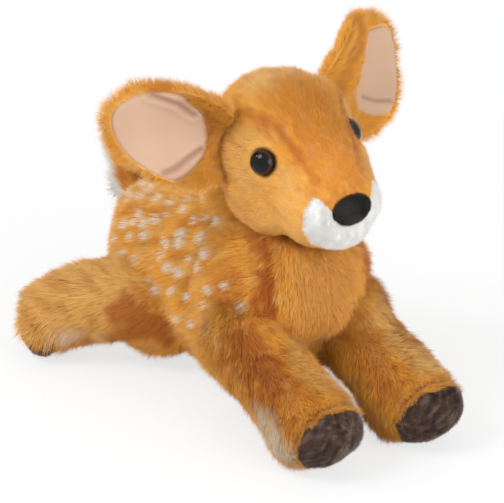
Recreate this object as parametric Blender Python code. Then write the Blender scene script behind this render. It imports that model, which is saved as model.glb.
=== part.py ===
"""A stuffed plush fawn that lies on its belly, front legs forward and hind legs stretched back.

The skins are shells of pile fabric around cores of fibre filling, with a pouch of pellets low in the
belly. Head, legs, ears and tail are sewn on so that each gives about its seam. A leg, the head and
the tail end in a rounded seat about their turning line, and the body is opened by all that they
sweep. An ear is a thin cupped leaf, and ends where the head begins. Lengths are in metres. +X runs
towards the nose, +Y to the fawn's left and +Z up, and the origin is the middle of the flat under
the belly.
"""

import math
from dataclasses import dataclass

import bmesh
import bpy
import numpy as np
from mathutils import Matrix, Vector

# Fabric and fit
SKIN_WALL = 0.0022
FILLING_GAP = 0.0006
SEAM_GAP = 0.0004
SWEEP_GAP = 0.0008
SOCKET_GAP = 0.0021
OVERRUN = 0.002

# Torso, along +X from the rump to the chest
TORSO_LENGTH = 0.229
TORSO_HALF_WIDTH = 0.050
TORSO_HEIGHT = 0.160
BELLY_FORWARD_OF_RUMP = 0.149
TORSO_ROUND_ENDS = (0.048, 0.031)

# Head, along the line of the face
HEAD_LENGTH = 0.136
HEAD_HALF_WIDTH = 0.0475
HEAD_HALF_HEIGHT = 0.050
HEAD_PITCH = math.radians(21.0)
SKULL_FORWARD = 0.027
SKULL_HEIGHT = 0.196
SKULL_BACK = 0.051
HEAD_ROUND_ENDS = (0.050, 0.018)
NOD_FORWARD = 0.020
NOD_HEIGHT = 0.176
NOD_RANGE = (math.radians(-8.0), math.radians(10.0))
NECK_OPENING_RADIUS = 0.016

# Muzzle, nose and eyes
MUZZLE_LENGTH = 0.014
MUZZLE_TILT = math.radians(-5.0)
NOSE_WIDTH = 0.032
NOSE_HEIGHT = 0.026
NOSE_THICKNESS = 0.019
NOSE_INSET = 0.007
NOSE_RISE = 0.005
EYE_RADIUS = 0.0085
EYE_DOME = 0.0062
EYE_ALONG = 0.0760
EYE_RISE = 0.0150
EYE_STEM_RADIUS = 0.0020
EYE_STEM_LENGTH = 0.0085
STEM_CLEARANCE = 0.0004
WASHER_RADIUS = 0.0055
WASHER_THICKNESS = 0.0016
WASHER_DROP = 0.0014

# Ears, each a cupped leaf about its own root line
EAR_LENGTH = 0.094
EAR_HALF_WIDTH = 0.035
EAR_THICKNESS = 0.0050
EAR_LINING_GAP = 0.0008
EAR_LINING_THICKNESS = 0.0012
EAR_LINING_MARGIN = 0.0075
EAR_LINING_START = 0.026
EAR_CUP = 0.020
EAR_TIP_ROUND = 0.024
EAR_ROOT = (0.025, 0.038, 0.203)
EAR_REACH = {"right": (-0.38, -0.875, 0.30), "left": (-0.379, 0.802, 0.462)}
EAR_FACING = {"right": (0.90, -0.436, 0.0), "left": (0.95, -0.20, 0.10)}
EAR_RANGE = (math.radians(-15.0), math.radians(15.0))

# Front legs
FRONT_LEG_LENGTH = 0.124
FRONT_LEG_RADIUS = 0.0250
FRONT_HIP = {"right": (0.035, -0.043, 0.061), "left": (0.041, 0.038, 0.057)}
FRONT_LEG_SLOPE = math.radians(17.5)
FRONT_LEG_SPLAY = 0.0
FRONT_HOOF_LENGTH = 0.022
FRONT_HOOF_TILT = math.radians(-4.0)
FRONT_LEG_RANGE = (math.radians(-12.0), math.radians(12.0))

# Hind legs
HIND_LEG_LENGTH = 0.098
HIND_LEG_RADIUS = 0.0270
HIND_HIP = {"right": (-0.078, -0.040, 0.052), "left": (-0.078, 0.040, 0.052)}
HIND_LEG_SLOPE = math.radians(15.0)
HIND_LEG_SPLAY = math.radians(45.0)
HIND_HOOF_LENGTH = 0.013
HIND_HOOF_TILT = math.radians(48.0)
HIND_LEG_RANGE = (math.radians(-12.0), math.radians(12.0))

# Tail
TAIL_LENGTH = 0.066
TAIL_HALF_WIDTH = 0.0150
TAIL_HALF_THICKNESS = 0.0075
TAIL_ROOT = (-0.134, 0.0, 0.084)
TAIL_RISE = math.radians(124.0)
TAIL_RANGE = (math.radians(-15.0), math.radians(15.0))

# Pellet pouch, low in the belly
POUCH_RADIUS = 0.028
POUCH_HALF_HEIGHT = 0.013
POUCH_FORWARD = -0.006
POUCH_LIFT = 0.012

# Shares along each form, then of its half width, and of its height to its lowest and highest line
TORSO_SHARES = (
    (0.00, 0.76, 0.27, 0.72),
    (0.13, 0.90, 0.20, 0.77),
    (0.28, 0.98, 0.14, 0.83),
    (0.42, 1.00, 0.11, 0.89),
    (0.52, 1.00, 0.045, 0.95),
    (0.59, 1.00, 0.005, 0.99),
    (0.65, 1.00, -0.009, 1.03),
    (0.71, 1.01, -0.008, 1.06),
    (0.78, 1.02, 0.07, 1.07),
    (0.87, 1.03, 0.22, 1.03),
    (1.00, 0.98, 0.38, 0.88),
)
HEAD_SHARES = (
    (0.00, 0.84, -0.82, 0.82),
    (0.20, 0.95, -0.92, 0.90),
    (0.38, 1.00, -0.93, 0.93),
    (0.52, 0.98, -0.90, 0.86),
    (0.65, 0.91, -0.84, 0.70),
    (0.78, 0.80, -0.77, 0.50),
    (0.90, 0.73, -0.70, 0.38),
    (1.00, 0.68, -0.62, 0.30),
)
FRONT_LEG_SHARES = (
    (0.00, 1.00, -1.00, 1.00),
    (0.35, 1.00, -1.00, 1.00),
    (0.58, 1.00, -1.08, 0.98),
    (0.70, 1.08, -1.42, 0.96),
    (0.79, 1.10, -1.46, 0.96),
    (0.89, 1.06, -1.00, 0.98),
    (1.00, 1.00, -0.46, 0.94),
)
HIND_LEG_SHARES = (
    (0.00, 1.00, -1.00, 1.00),
    (0.40, 0.96, -0.88, 1.06),
    (0.70, 0.88, -0.88, 0.96),
    (0.87, 0.86, -1.14, 0.76),
    (1.00, 0.84, -1.43, 0.50),
)
TAIL_SHARES = (
    (0.00, 0.72, -1.00, 1.00),
    (0.35, 0.96, -1.00, 1.00),
    (0.65, 1.00, -0.90, 0.90),
    (1.00, 0.80, -0.60, 0.60),
)
# Shares along the ear, then of its half width to its upper and its lower edge
EAR_OUTLINE_SHARES = (
    (0.00, 0.36, 0.70),
    (0.14, 0.70, 0.86),
    (0.30, 0.92, 0.92),
    (0.50, 0.97, 0.90),
    (0.72, 0.86, 0.82),
    (0.88, 0.70, 0.70),
    (1.00, 0.56, 0.54),
)
LEG_END_ROUND_SHARE = 0.62
MOUTH_RADIUS_SHARE = 0.45
EAR_TIP_LEAST_SHARE = 0.10
EAR_CUP_START_SHARE = 0.15

# Facets around and along each form
TORSO_FACETS = (24, 16)
HEAD_FACETS = (24, 16)
LEG_FACETS = (16, 12)
TAIL_FACETS = (12, 8)
EAR_FACETS = (10, 8)
BALL_FACETS = (20, 10)
SMALL_FACETS = (14, 8)

PARTS = "plush_fawn"
CUTTERS = "cutters"
SIDES = (("right", -1), ("left", 1))

UP = Vector((0.0, 0.0, 1.0))
AHEAD = Vector((1.0, 0.0, 0.0))
LEFT = Vector((0.0, 1.0, 0.0))


@dataclass(frozen=True)
class Finish:
    """Colour and sheen of one fabric or moulding."""

    name: str
    colour: tuple
    roughness: float
    metallic: float = 0.0


TAWNY = Finish("tawny_plush", (0.62, 0.27, 0.06), 0.95)
WHITE_PLUSH = Finish("white_plush", (0.86, 0.87, 0.86), 0.95)
HOOF_PLUSH = Finish("dark_hoof_plush", (0.055, 0.032, 0.024), 0.92)
NOSE_PLUSH = Finish("black_nose_plush", (0.012, 0.011, 0.011), 0.90)
SATIN = Finish("satin_lining", (0.76, 0.50, 0.38), 0.55)
EYE_GLOSS = Finish("eye_gloss", (0.010, 0.006, 0.005), 0.06)
WASHER_PLASTIC = Finish("washer_plastic", (0.72, 0.72, 0.70), 0.45)
FIBRE = Finish("fibre_filling", (0.86, 0.86, 0.84), 0.98)
PELLETS = Finish("pellet_pouch", (0.70, 0.70, 0.68), 0.85)


def clear_scene():
    """Removes every object, so that only the fawn is left."""
    for old in list(bpy.data.objects):
        bpy.data.objects.remove(old, do_unlink=True)


def collection(name):
    """Makes the collection of this name under the scene's own."""
    made = bpy.data.collections.new(name)
    bpy.context.scene.collection.children.link(made)


def material(finish):
    """Returns the Principled material of a finish, made once."""
    found = bpy.data.materials.get(finish.name)
    if found:
        return found
    made = bpy.data.materials.new(finish.name)
    made.use_nodes = True
    shader = made.node_tree.nodes["Principled BSDF"]
    shader.inputs["Base Color"].default_value = (*finish.colour, 1.0)
    shader.inputs["Roughness"].default_value = finish.roughness
    shader.inputs["Metallic"].default_value = finish.metallic
    made.diffuse_color = (*finish.colour, 1.0)
    return made


def part(name, mesh, finish, pivot=None, placed=None):
    """Puts a mesh in the parts' collection, with its origin on its pivot where it has one."""
    made = bpy.data.objects.new(name, mesh.copy())
    made.data.name = name
    made.data.materials.append(material(finish))
    made.data.transform(placed or Matrix.Identity(4))
    made.data.shade_smooth()
    if pivot is not None:
        made.data.transform(Matrix.Translation(-pivot))
        made.location = pivot
    bpy.data.collections[PARTS].objects.link(made)
    return made


def cutter(name, mesh, placed=None, swell=0.0):
    """A hidden solid that only cuts: its mesh, moved as told and grown along its normals."""
    made = bpy.data.objects.new(name, mesh)
    made.hide_render = True
    made.display_type = "WIRE"
    made.matrix_world = placed or Matrix.Identity(4)
    bpy.data.collections[CUTTERS].objects.link(made)
    if swell:
        grow(made, swell)
    return made


def grow(target, distance):
    """Moves a form's surface along its normals: outwards if positive, inwards if negative."""
    move = target.modifiers.new("offset", "DISPLACE")
    move.strength = distance
    move.mid_level = 0.0
    move.direction = "NORMAL"


def carve(target, tools, operation="DIFFERENCE", solver="EXACT"):
    """Adds one Boolean to a part for each tool."""
    for tool in tools:
        cut = target.modifiers.new(f"{operation.lower()} {tool.name}"[:60], "BOOLEAN")
        cut.operation = operation
        cut.object = tool
        cut.solver = solver


def turned(pivot, axis, angle):
    """The motion that turns by an angle about an axis through a pivot."""
    there = Matrix.Translation(pivot)
    return there @ Matrix.Rotation(angle, 4, axis) @ there.inverted()


def upright_to(place, direction):
    """The placement that stands an upright shape at a place, along a direction."""
    turn = UP.rotation_difference(direction).to_matrix().to_4x4()
    return Matrix.Translation(place) @ turn


def smooth_rows(rows, places):
    """Reads a table of shares at new places, along a smooth curve through its rows."""
    table = np.array(rows, dtype=float)
    along, values = table[:, 0], table[:, 1:]
    slopes = np.gradient(values, along, axis=0)
    spots = np.clip(np.searchsorted(along, places, side="right") - 1, 0, len(along) - 2)
    span = (along[spots + 1] - along[spots])[:, None]
    t = (places - along[spots])[:, None] / span
    start, end = values[spots], values[spots + 1]
    rise_in, rise_out = slopes[spots] * span, slopes[spots + 1] * span
    return (
        (2 * t**3 - 3 * t**2 + 1) * start
        + (t**3 - 2 * t**2 + t) * rise_in
        + (3 * t**2 - 2 * t**3) * end
        + (t**3 - t**2) * rise_out
    )


def dome(distance, radius):
    """How full a rounded end is at a distance from its tip, as a share of the full section."""
    if distance >= radius:
        return 1.0
    return math.sqrt(max(0.0, 1.0 - (1.0 - distance / radius) ** 2))


def mesh_from(name, build):
    """Runs a bmesh builder and returns its mesh, with every face turned outwards."""
    work = bmesh.new()
    build(work)
    bmesh.ops.recalc_face_normals(work, faces=work.faces)
    made = bpy.data.meshes.new(name)
    work.to_mesh(made)
    work.free()
    return made


def join_rings(work, rings, tip_start, tip_end):
    """Joins rings of points into one closed surface, with a fan at each tip."""
    loops = [[work.verts.new(point) for point in ring] for ring in rings]
    first, last = work.verts.new(tip_start), work.verts.new(tip_end)
    count = len(loops[0])
    for near, far in zip(loops, loops[1:]):
        for i in range(count):
            j = (i + 1) % count
            work.faces.new((near[i], near[j], far[j], far[i]))
    for i in range(count):
        j = (i + 1) % count
        work.faces.new((first, loops[0][j], loops[0][i]))
        work.faces.new((last, loops[-1][i], loops[-1][j]))


@dataclass(frozen=True)
class Form:
    """A stuffed form that swells and tapers along a straight line, with two rounded ends."""

    name: str
    start: Vector
    ahead: Vector
    above: Vector
    length: float
    half_width: float
    height: float
    shares: tuple
    round_ends: tuple
    facets: tuple

    def across(self):
        """The direction of the form's width."""
        return self.above.cross(self.ahead)

    def row(self, place):
        """The half width and the lowest and highest line at one place, rounded ends included."""
        wide, low, high = smooth_rows(self.shares, np.array([place]))[0]
        from_end = (1.0 - place) * self.length
        full = dome(place * self.length, self.round_ends[0]) * dome(from_end, self.round_ends[1])
        middle = 0.5 * (low + high) * self.height
        reach = 0.5 * (high - low) * self.height * full
        return wide * self.half_width * full, middle, reach

    def ring(self, place):
        """The points of one section."""
        wide, middle, reach = self.row(place)
        centre = self.start + self.ahead * (place * self.length) + self.above * middle
        turns = [2.0 * math.pi * i / self.facets[0] for i in range(self.facets[0])]
        return [
            centre + self.across() * (wide * math.cos(t)) + self.above * (reach * math.sin(t))
            for t in turns
        ]

    def mesh(self):
        """The form's outer surface."""
        along = self.facets[1]
        places = [0.5 - 0.5 * math.cos(math.pi * (i + 0.5) / along) for i in range(along)]
        tips = [
            self.start + self.ahead * (place * self.length) + self.above * self.row(place)[1]
            for place in (0.0, 1.0)
        ]
        rings = [self.ring(place) for place in places]
        return mesh_from(self.name, lambda work: join_rings(work, rings, *tips))

    def surface(self, along, rise, side):
        """The point and the outward direction on one flank, at a distance along and a rise."""
        place = along / self.length
        wide, middle, reach = self.row(place)
        lean = math.asin(max(-1.0, min(1.0, (rise - middle) / reach)))

        def flank(spot, angle):
            half, centre, up = self.row(spot)
            return (
                self.start
                + self.ahead * (spot * self.length)
                + self.across() * (side * half * math.cos(angle))
                + self.above * (centre + up * math.sin(angle))
            )

        step = OVERRUN / self.length
        run = flank(place + step, lean) - flank(place - step, lean)
        rise_run = flank(place, lean + step) - flank(place, lean - step)
        return flank(place, lean), (rise_run.cross(run) * side).normalized()


def turned_mesh(name, profile, sides):
    """A solid turned about the upright axis from (radius, height) points between two tips."""
    turns = [2.0 * math.pi * i / sides for i in range(sides)]
    rings = [
        [Vector((radius * math.cos(t), radius * math.sin(t), height)) for t in turns]
        for radius, height in profile[1:-1]
    ]
    tips = [Vector((0.0, 0.0, height)) for _, height in (profile[0], profile[-1])]
    return mesh_from(name, lambda work: join_rings(work, rings, *tips))


def ball_mesh(name, radii, facets):
    """A ball, or a squashed one, about its own origin."""

    def build(work):
        bmesh.ops.create_uvsphere(work, u_segments=facets[0], v_segments=facets[1], radius=1.0)
        bmesh.ops.scale(work, verts=work.verts, vec=radii)

    return mesh_from(name, build)


def drum_mesh(name, radius, height, sides):
    """An upright cylinder about its own origin."""

    def build(work):
        bmesh.ops.create_cone(
            work, cap_ends=True, segments=sides, radius1=radius, radius2=radius, depth=height
        )

    return mesh_from(name, build)


def beyond(name, point, facing, reach):
    """A large block that fills everything beyond a plane through a point."""

    def build(work):
        bmesh.ops.create_cube(work, size=2.0 * reach)
        bmesh.ops.translate(work, verts=work.verts, vec=(0.0, 0.0, reach))

    return cutter(name, mesh_from(name, build), upright_to(point, facing))


def kept_beyond(mesh, point, facing):
    """A closed copy of a form's mesh, with only what lies beyond a plane through a point."""

    def build(work):
        work.from_mesh(mesh)
        everything = work.verts[:] + work.edges[:] + work.faces[:]
        bmesh.ops.bisect_plane(
            work, geom=everything, plane_co=point, plane_no=facing, clear_inner=True
        )
        bmesh.ops.holes_fill(work, edges=[edge for edge in work.edges if edge.is_boundary])

    return mesh_from(f"{mesh.name} beyond its root", build)


def sweep(name, mesh, pivot, axis, limits):
    """Copies of a moving form at rest and at both its limits, grown by the running gap."""
    angles = (("at rest", 0.0), ("at its low limit", limits[0]), ("at its high limit", limits[1]))
    return [
        cutter(f"{name} {label}", mesh, turned(pivot, axis, angle), SWEEP_GAP)
        for label, angle in angles
    ]


def torso_form():
    """The body, from the rump to the chest."""
    return Form(
        "torso form",
        Vector((-BELLY_FORWARD_OF_RUMP, 0.0, 0.0)),
        AHEAD,
        UP,
        TORSO_LENGTH,
        TORSO_HALF_WIDTH,
        TORSO_HEIGHT,
        TORSO_SHARES,
        TORSO_ROUND_ENDS,
        TORSO_FACETS,
    )


def head_form():
    """The head, from the nape to the front of the muzzle."""
    ahead = Vector((math.cos(HEAD_PITCH), 0.0, -math.sin(HEAD_PITCH)))
    above = Vector((math.sin(HEAD_PITCH), 0.0, math.cos(HEAD_PITCH)))
    skull = Vector((SKULL_FORWARD, 0.0, SKULL_HEIGHT))
    return Form(
        "head form",
        skull - ahead * SKULL_BACK,
        ahead,
        above,
        HEAD_LENGTH,
        HEAD_HALF_WIDTH,
        HEAD_HALF_HEIGHT,
        HEAD_SHARES,
        HEAD_ROUND_ENDS,
        HEAD_FACETS,
    )


@dataclass(frozen=True)
class Leg:
    """One leg: its ball about the hip, its run out to the hoof, and how the hoof's seam leans."""

    name: str
    side: int
    hip: tuple
    slope: float
    splay: float
    forward: float
    length: float
    radius: float
    shares: tuple
    hoof_length: float
    hoof_tilt: float
    limits: tuple

    def centre(self):
        """The middle of the ball at the hip."""
        return Vector(self.hip)

    def form(self):
        """The leg and hoof as one stuffed form."""
        level = math.cos(self.slope)
        ahead = Vector(
            (
                self.forward * level * math.cos(self.splay),
                self.side * level * math.sin(self.splay),
                -math.sin(self.slope),
            )
        )
        return Form(
            f"{self.name} form",
            self.centre() - ahead * self.radius,
            ahead,
            ahead.cross(UP.cross(ahead).normalized()),
            self.length + self.radius,
            self.radius,
            self.radius,
            self.shares,
            (self.radius, self.radius * LEG_END_ROUND_SHARE),
            LEG_FACETS,
        )

    def build(self, ground, hollow_ground, inner_ground):
        """Makes the skin, filling and hoof, and returns what the body makes room for."""
        form, centre = self.form(), self.centre()
        outer = form.mesh()
        seam = centre + form.ahead * (self.length - self.hoof_length)
        facing = (Matrix.Rotation(self.hoof_tilt, 3, form.across()) @ form.ahead).normalized()
        half_gap = facing * (0.5 * SEAM_GAP)
        hoof_side = beyond(f"{self.name} hoof side", seam - half_gap, facing, self.length)
        leg_side = beyond(f"{self.name} leg side", seam + half_gap, -facing, self.length)
        inside = cutter(f"{self.name} inside", outer, swell=-SKIN_WALL)
        carve(inside, (hollow_ground,))
        mouth = cutter(
            f"{self.name} mouth",
            drum_mesh(
                f"{self.name} mouth", MOUTH_RADIUS_SHARE * self.radius, self.radius, SMALL_FACETS[0]
            ),
            upright_to(form.start, form.ahead),
        )
        skin = part(f"{self.name}_skin", outer, TAWNY, centre)
        carve(skin, (inside, hoof_side, mouth, ground))
        filling = part(f"{self.name}_filling", outer, FIBRE, centre)
        grow(filling, -SKIN_WALL - FILLING_GAP)
        carve(filling, (hoof_side, inner_ground))
        hoof = part(self.name.replace("leg", "hoof"), outer, HOOF_PLUSH, centre)
        carve(hoof, (leg_side, ground))
        socket = cutter(
            f"{self.name} socket",
            ball_mesh(f"{self.name} socket", (self.radius + SOCKET_GAP,) * 3, BALL_FACETS),
            Matrix.Translation(centre),
        )
        limb = kept_beyond(outer, centre, form.ahead)
        return [socket] + sweep(self.name, limb, centre, LEFT, self.limits)


def front_leg(side_name, side):
    """A front leg, reaching forward and down to the ground."""
    return Leg(
        f"front_leg_{side_name}",
        side,
        FRONT_HIP[side_name],
        FRONT_LEG_SLOPE,
        FRONT_LEG_SPLAY,
        1.0,
        FRONT_LEG_LENGTH,
        FRONT_LEG_RADIUS,
        FRONT_LEG_SHARES,
        FRONT_HOOF_LENGTH,
        FRONT_HOOF_TILT,
        FRONT_LEG_RANGE,
    )


def hind_leg(side_name, side):
    """A hind leg, stretched back and outwards."""
    return Leg(
        f"hind_leg_{side_name}",
        side,
        HIND_HIP[side_name],
        HIND_LEG_SLOPE,
        HIND_LEG_SPLAY,
        -1.0,
        HIND_LEG_LENGTH,
        HIND_LEG_RADIUS,
        HIND_LEG_SHARES,
        HIND_HOOF_LENGTH,
        HIND_HOOF_TILT,
        HIND_LEG_RANGE,
    )


@dataclass(frozen=True)
class Ear:
    """One ear: a cupped plush leaf with a satin lining in front of it."""

    side_name: str
    side: int

    def root(self):
        """The middle of the root line, inside the head."""
        return Vector((EAR_ROOT[0], self.side * EAR_ROOT[1], EAR_ROOT[2]))

    def axes(self):
        """The ear's reach, the way it faces, and the way to its upper edge, square to each other."""
        reach = Vector(EAR_REACH[self.side_name]).normalized()
        facing = Vector(EAR_FACING[self.side_name])
        facing = (facing - reach * facing.dot(reach)).normalized()
        return reach, facing, reach.cross(facing) * -self.side

    def point(self, along, cross, margin, depth):
        """A point of the leaf: along its reach, across it from -1 to 1, inside its edge and deep."""
        reach, facing, edge = self.axes()
        upper, lower = smooth_rows(EAR_OUTLINE_SHARES, np.array([along / EAR_LENGTH]))[0]
        full = max(dome(EAR_LENGTH - along, EAR_TIP_ROUND), EAR_TIP_LEAST_SHARE)
        share = upper if cross > 0.0 else lower
        half = max(share * EAR_HALF_WIDTH * full - margin, margin * EAR_TIP_LEAST_SHARE)
        turn = math.pi * min(EAR_CUP_START_SHARE + along / EAR_LENGTH, 1.0)
        cup = EAR_CUP * (cross * half / EAR_HALF_WIDTH) ** 2 * math.sin(turn)
        return self.root() + reach * along + edge * (cross * half) + facing * (cup + depth)

    def leaf(self, name, start, margin, back, front):
        """A closed sheet between two depths, from a distance along the ear to near its tip."""
        around, along = EAR_FACETS
        end = EAR_LENGTH - margin
        steps = [start + (end - start) * math.sin(0.5 * math.pi * i / along) for i in range(along + 1)]
        crosswise = [-1.0 + 2.0 * i / around for i in range(around + 1)]

        def build(work):
            low, high = (
                [[work.verts.new(self.point(s, c, margin, depth)) for c in crosswise] for s in steps]
                for depth in (back, front)
            )
            for i in range(along):
                for j in range(around):
                    work.faces.new((low[i][j], low[i][j + 1], low[i + 1][j + 1], low[i + 1][j]))
                    work.faces.new((high[i][j], high[i + 1][j], high[i + 1][j + 1], high[i][j + 1]))
            lower_rim, upper_rim = rim(low), rim(high)
            for i, corner in enumerate(lower_rim):
                j = (i + 1) % len(lower_rim)
                work.faces.new((corner, lower_rim[j], upper_rim[j], upper_rim[i]))

        return mesh_from(name, build)

    def build(self, head):
        """Makes the plush back and the lining, ended clear of the head as the ear folds."""
        root, (_, _, edge) = self.root(), self.axes()
        clear = sweep(f"head beside the {self.side_name} ear", head, root, edge, EAR_RANGE)
        back = self.leaf(f"ear back {self.side_name}", 0.0, 0.0, -EAR_THICKNESS, 0.0)
        carve(part(f"ear_back_{self.side_name}", back, TAWNY, root), clear)
        front = EAR_LINING_GAP + EAR_LINING_THICKNESS
        lining = self.leaf(
            f"ear lining {self.side_name}", EAR_LINING_START, EAR_LINING_MARGIN, EAR_LINING_GAP, front
        )
        carve(part(f"ear_lining_{self.side_name}", lining, SATIN, root), clear)


def rim(grid):
    """The border of a grid of vertices, in order."""
    first, last = grid[0], grid[-1]
    left = [row[0] for row in grid[1:-1]]
    right = [row[-1] for row in grid[1:-1]]
    return first + right + last[::-1] + left[::-1]


def build_eye(side_name, side, form, nod):
    """Makes an eye and its washer, and returns the hole and the hollow that they need."""
    point, out = form.surface(EYE_ALONG, EYE_RISE, side)
    arc = [math.radians(15.0 * i) for i in range(7)]
    profile = [(EYE_RADIUS * math.sin(a), EYE_DOME * math.cos(a)) for a in arc]
    profile += [(EYE_STEM_RADIUS, 0.0), (EYE_STEM_RADIUS, -EYE_STEM_LENGTH)]
    profile.append((0.0, -EYE_STEM_LENGTH))
    placed = upright_to(point + out * SEAM_GAP, out)
    eye = turned_mesh(f"eye {side_name}", profile, SMALL_FACETS[0])
    part(f"eye_{side_name}", eye, EYE_GLOSS, nod, placed)

    bore = cutter(
        f"eye hole {side_name}",
        drum_mesh(
            f"eye hole {side_name}",
            EYE_STEM_RADIUS + STEM_CLEARANCE,
            4.0 * EYE_STEM_LENGTH,
            SMALL_FACETS[0],
        ),
        upright_to(point, out),
    )
    washer_depth = SKIN_WALL + WASHER_DROP + 0.5 * WASHER_THICKNESS
    seat = upright_to(point - out * washer_depth, out)
    washer = drum_mesh(f"washer {side_name}", WASHER_RADIUS, WASHER_THICKNESS, SMALL_FACETS[0])
    carve(part(f"eye_washer_{side_name}", washer, WASHER_PLASTIC, nod, seat), (bore,))
    hollow_depth = SKIN_WALL + WASHER_DROP + WASHER_THICKNESS + STEM_CLEARANCE
    hollow = cutter(
        f"washer hollow {side_name}",
        drum_mesh(
            f"washer hollow {side_name}",
            WASHER_RADIUS + STEM_CLEARANCE,
            2.0 * hollow_depth,
            SMALL_FACETS[0],
        ),
        upright_to(point, out),
    )
    return bore, hollow


def build_head(nod):
    """Makes the head, muzzle, nose, eyes and filling, and returns the head's outer surface."""
    form = head_form()
    outer = form.mesh()
    inside = cutter("head inside", outer, swell=-SKIN_WALL)
    seam = form.start + form.ahead * (HEAD_LENGTH - MUZZLE_LENGTH)
    facing = Matrix.Rotation(MUZZLE_TILT, 3, LEFT) @ form.ahead
    half_gap = facing * (0.5 * SEAM_GAP)
    muzzle_side = beyond("muzzle side", seam - half_gap, facing, HEAD_LENGTH)
    face_side = beyond("face side", seam + half_gap, -facing, HEAD_LENGTH)
    neck = cutter(
        "neck opening",
        drum_mesh("neck opening", NECK_OPENING_RADIUS, HEAD_HALF_HEIGHT, BALL_FACETS[0]),
        Matrix.Translation(nod - UP * (0.5 * HEAD_HALF_HEIGHT)),
    )
    openings = [build_eye(name, side, form, nod) for name, side in SIDES]
    bores, hollows = zip(*openings)

    skin = part("head_skin", outer, TAWNY, nod)
    carve(skin, (inside, muzzle_side, neck) + bores)
    muzzle = part("muzzle_skin", outer, WHITE_PLUSH, nod)
    carve(muzzle, (inside, face_side))
    filling = part("head_filling", outer, FIBRE, nod)
    grow(filling, -SKIN_WALL - FILLING_GAP)
    carve(filling, bores + hollows)

    nose_place = form.start + form.ahead * (HEAD_LENGTH - NOSE_INSET) + form.above * NOSE_RISE
    radii = (0.5 * NOSE_THICKNESS, 0.5 * NOSE_WIDTH, 0.5 * NOSE_HEIGHT)
    nose = ball_mesh("nose form", radii, SMALL_FACETS)
    placed = Matrix.Translation(nose_place) @ Matrix.Rotation(HEAD_PITCH, 4, LEFT)
    carve(
        part("nose", nose, NOSE_PLUSH, nod, placed),
        (cutter("muzzle under the nose", outer, swell=SEAM_GAP),),
    )
    return outer


def build_tail():
    """Makes the tail's two faces, and returns what the body makes room for."""
    ahead = Vector((math.cos(TAIL_RISE), 0.0, math.sin(TAIL_RISE)))
    above = ahead.cross(LEFT)
    pivot = Vector(TAIL_ROOT)
    form = Form(
        "tail form",
        pivot - ahead * TAIL_HALF_THICKNESS,
        ahead,
        above,
        TAIL_LENGTH + TAIL_HALF_THICKNESS,
        TAIL_HALF_WIDTH,
        TAIL_HALF_THICKNESS,
        TAIL_SHARES,
        (TAIL_HALF_THICKNESS, TAIL_HALF_WIDTH),
        TAIL_FACETS,
    )
    outer = form.mesh()
    half_gap = above * (0.5 * SEAM_GAP)
    front_half = beyond("tail front half", pivot - half_gap, above, TAIL_LENGTH + TAIL_HALF_WIDTH)
    back_half = beyond("tail back half", pivot + half_gap, -above, TAIL_LENGTH + TAIL_HALF_WIDTH)
    carve(part("tail_back", outer, WHITE_PLUSH, pivot), (front_half,))
    carve(part("tail_front", outer, TAWNY, pivot), (back_half,))
    root_reach = TAIL_HALF_THICKNESS + SOCKET_GAP
    root_radii = (root_reach, TAIL_HALF_WIDTH + SOCKET_GAP, root_reach)
    socket = cutter(
        "tail socket", ball_mesh("tail socket", root_radii, SMALL_FACETS), Matrix.Translation(pivot)
    )
    limb = kept_beyond(outer, pivot, ahead)
    return [socket] + sweep("tail", limb, pivot, LEFT, TAIL_RANGE)


def build_torso(openings, ground, hollow_ground, inner_ground):
    """Makes the body's skin, its filling and the pouch of pellets low in the belly.

    The sweeps that open them overlap each other so closely that only the Manifold solver cuts them.
    """
    outer = torso_form().mesh()
    skin = part("torso_skin", outer, TAWNY)
    inside = cutter("torso inside", outer, swell=-SKIN_WALL)
    carve(inside, (hollow_ground,))
    carve(skin, [inside] + openings + [ground], solver="MANIFOLD")

    inner = -SKIN_WALL - FILLING_GAP
    radii = (POUCH_RADIUS, POUCH_RADIUS, POUCH_HALF_HEIGHT)
    pouch_form = ball_mesh("pouch form", radii, SMALL_FACETS)
    placed = Matrix.Translation((POUCH_FORWARD, 0.0, POUCH_LIFT))
    pouch = part("pellet_pouch", pouch_form, PELLETS, placed=placed)
    carve(pouch, (cutter("room in the belly", outer, swell=inner),), "INTERSECT")
    carve(pouch, (inner_ground,))
    room = cutter("pouch room", pouch_form, placed, FILLING_GAP)

    filling = part("torso_filling", outer, FIBRE)
    grow(filling, inner)
    carve(filling, openings + [room, inner_ground], solver="MANIFOLD")


def main():
    """Builds the whole fawn."""
    clear_scene()
    collection(PARTS)
    collection(CUTTERS)
    levels = (
        ("ground", 0.0),
        ("ground inside the wall", SKIN_WALL),
        ("ground inside the skin", SKIN_WALL + FILLING_GAP),
    )
    grounds = [beyond(name, UP * height, -UP, TORSO_LENGTH) for name, height in levels]
    nod = Vector((NOD_FORWARD, 0.0, NOD_HEIGHT))

    head = build_head(nod)
    openings = sweep("head", head, nod, LEFT, NOD_RANGE)
    for side_name, side in SIDES:
        openings += front_leg(side_name, side).build(*grounds)
        openings += hind_leg(side_name, side).build(*grounds)
        Ear(side_name, side).build(head)
    openings += build_tail()
    build_torso(openings, *grounds)


if __name__ == "__main__":
    main()
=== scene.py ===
"""Looks of a stuffed plush fawn: its pile, cloth, eyes and studio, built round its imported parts.

Lengths are in metres, and in millimetres where a name ends in _MM or _mm. +X runs towards the
nose, +Y to the fawn's left and +Z up. Each stuffed form is a closed surface made from its parts
and a few fuller masses. Its pile is made of thin closed strands that stand on it, combed along
the fawn, and coloured by where they are seen.
"""

import logging
import math
from collections.abc import Callable
from dataclasses import dataclass
from enum import Enum

import bmesh
import bpy
import numpy as np
from mathutils import Matrix, Vector
from mathutils.bvhtree import BVHTree


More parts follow.
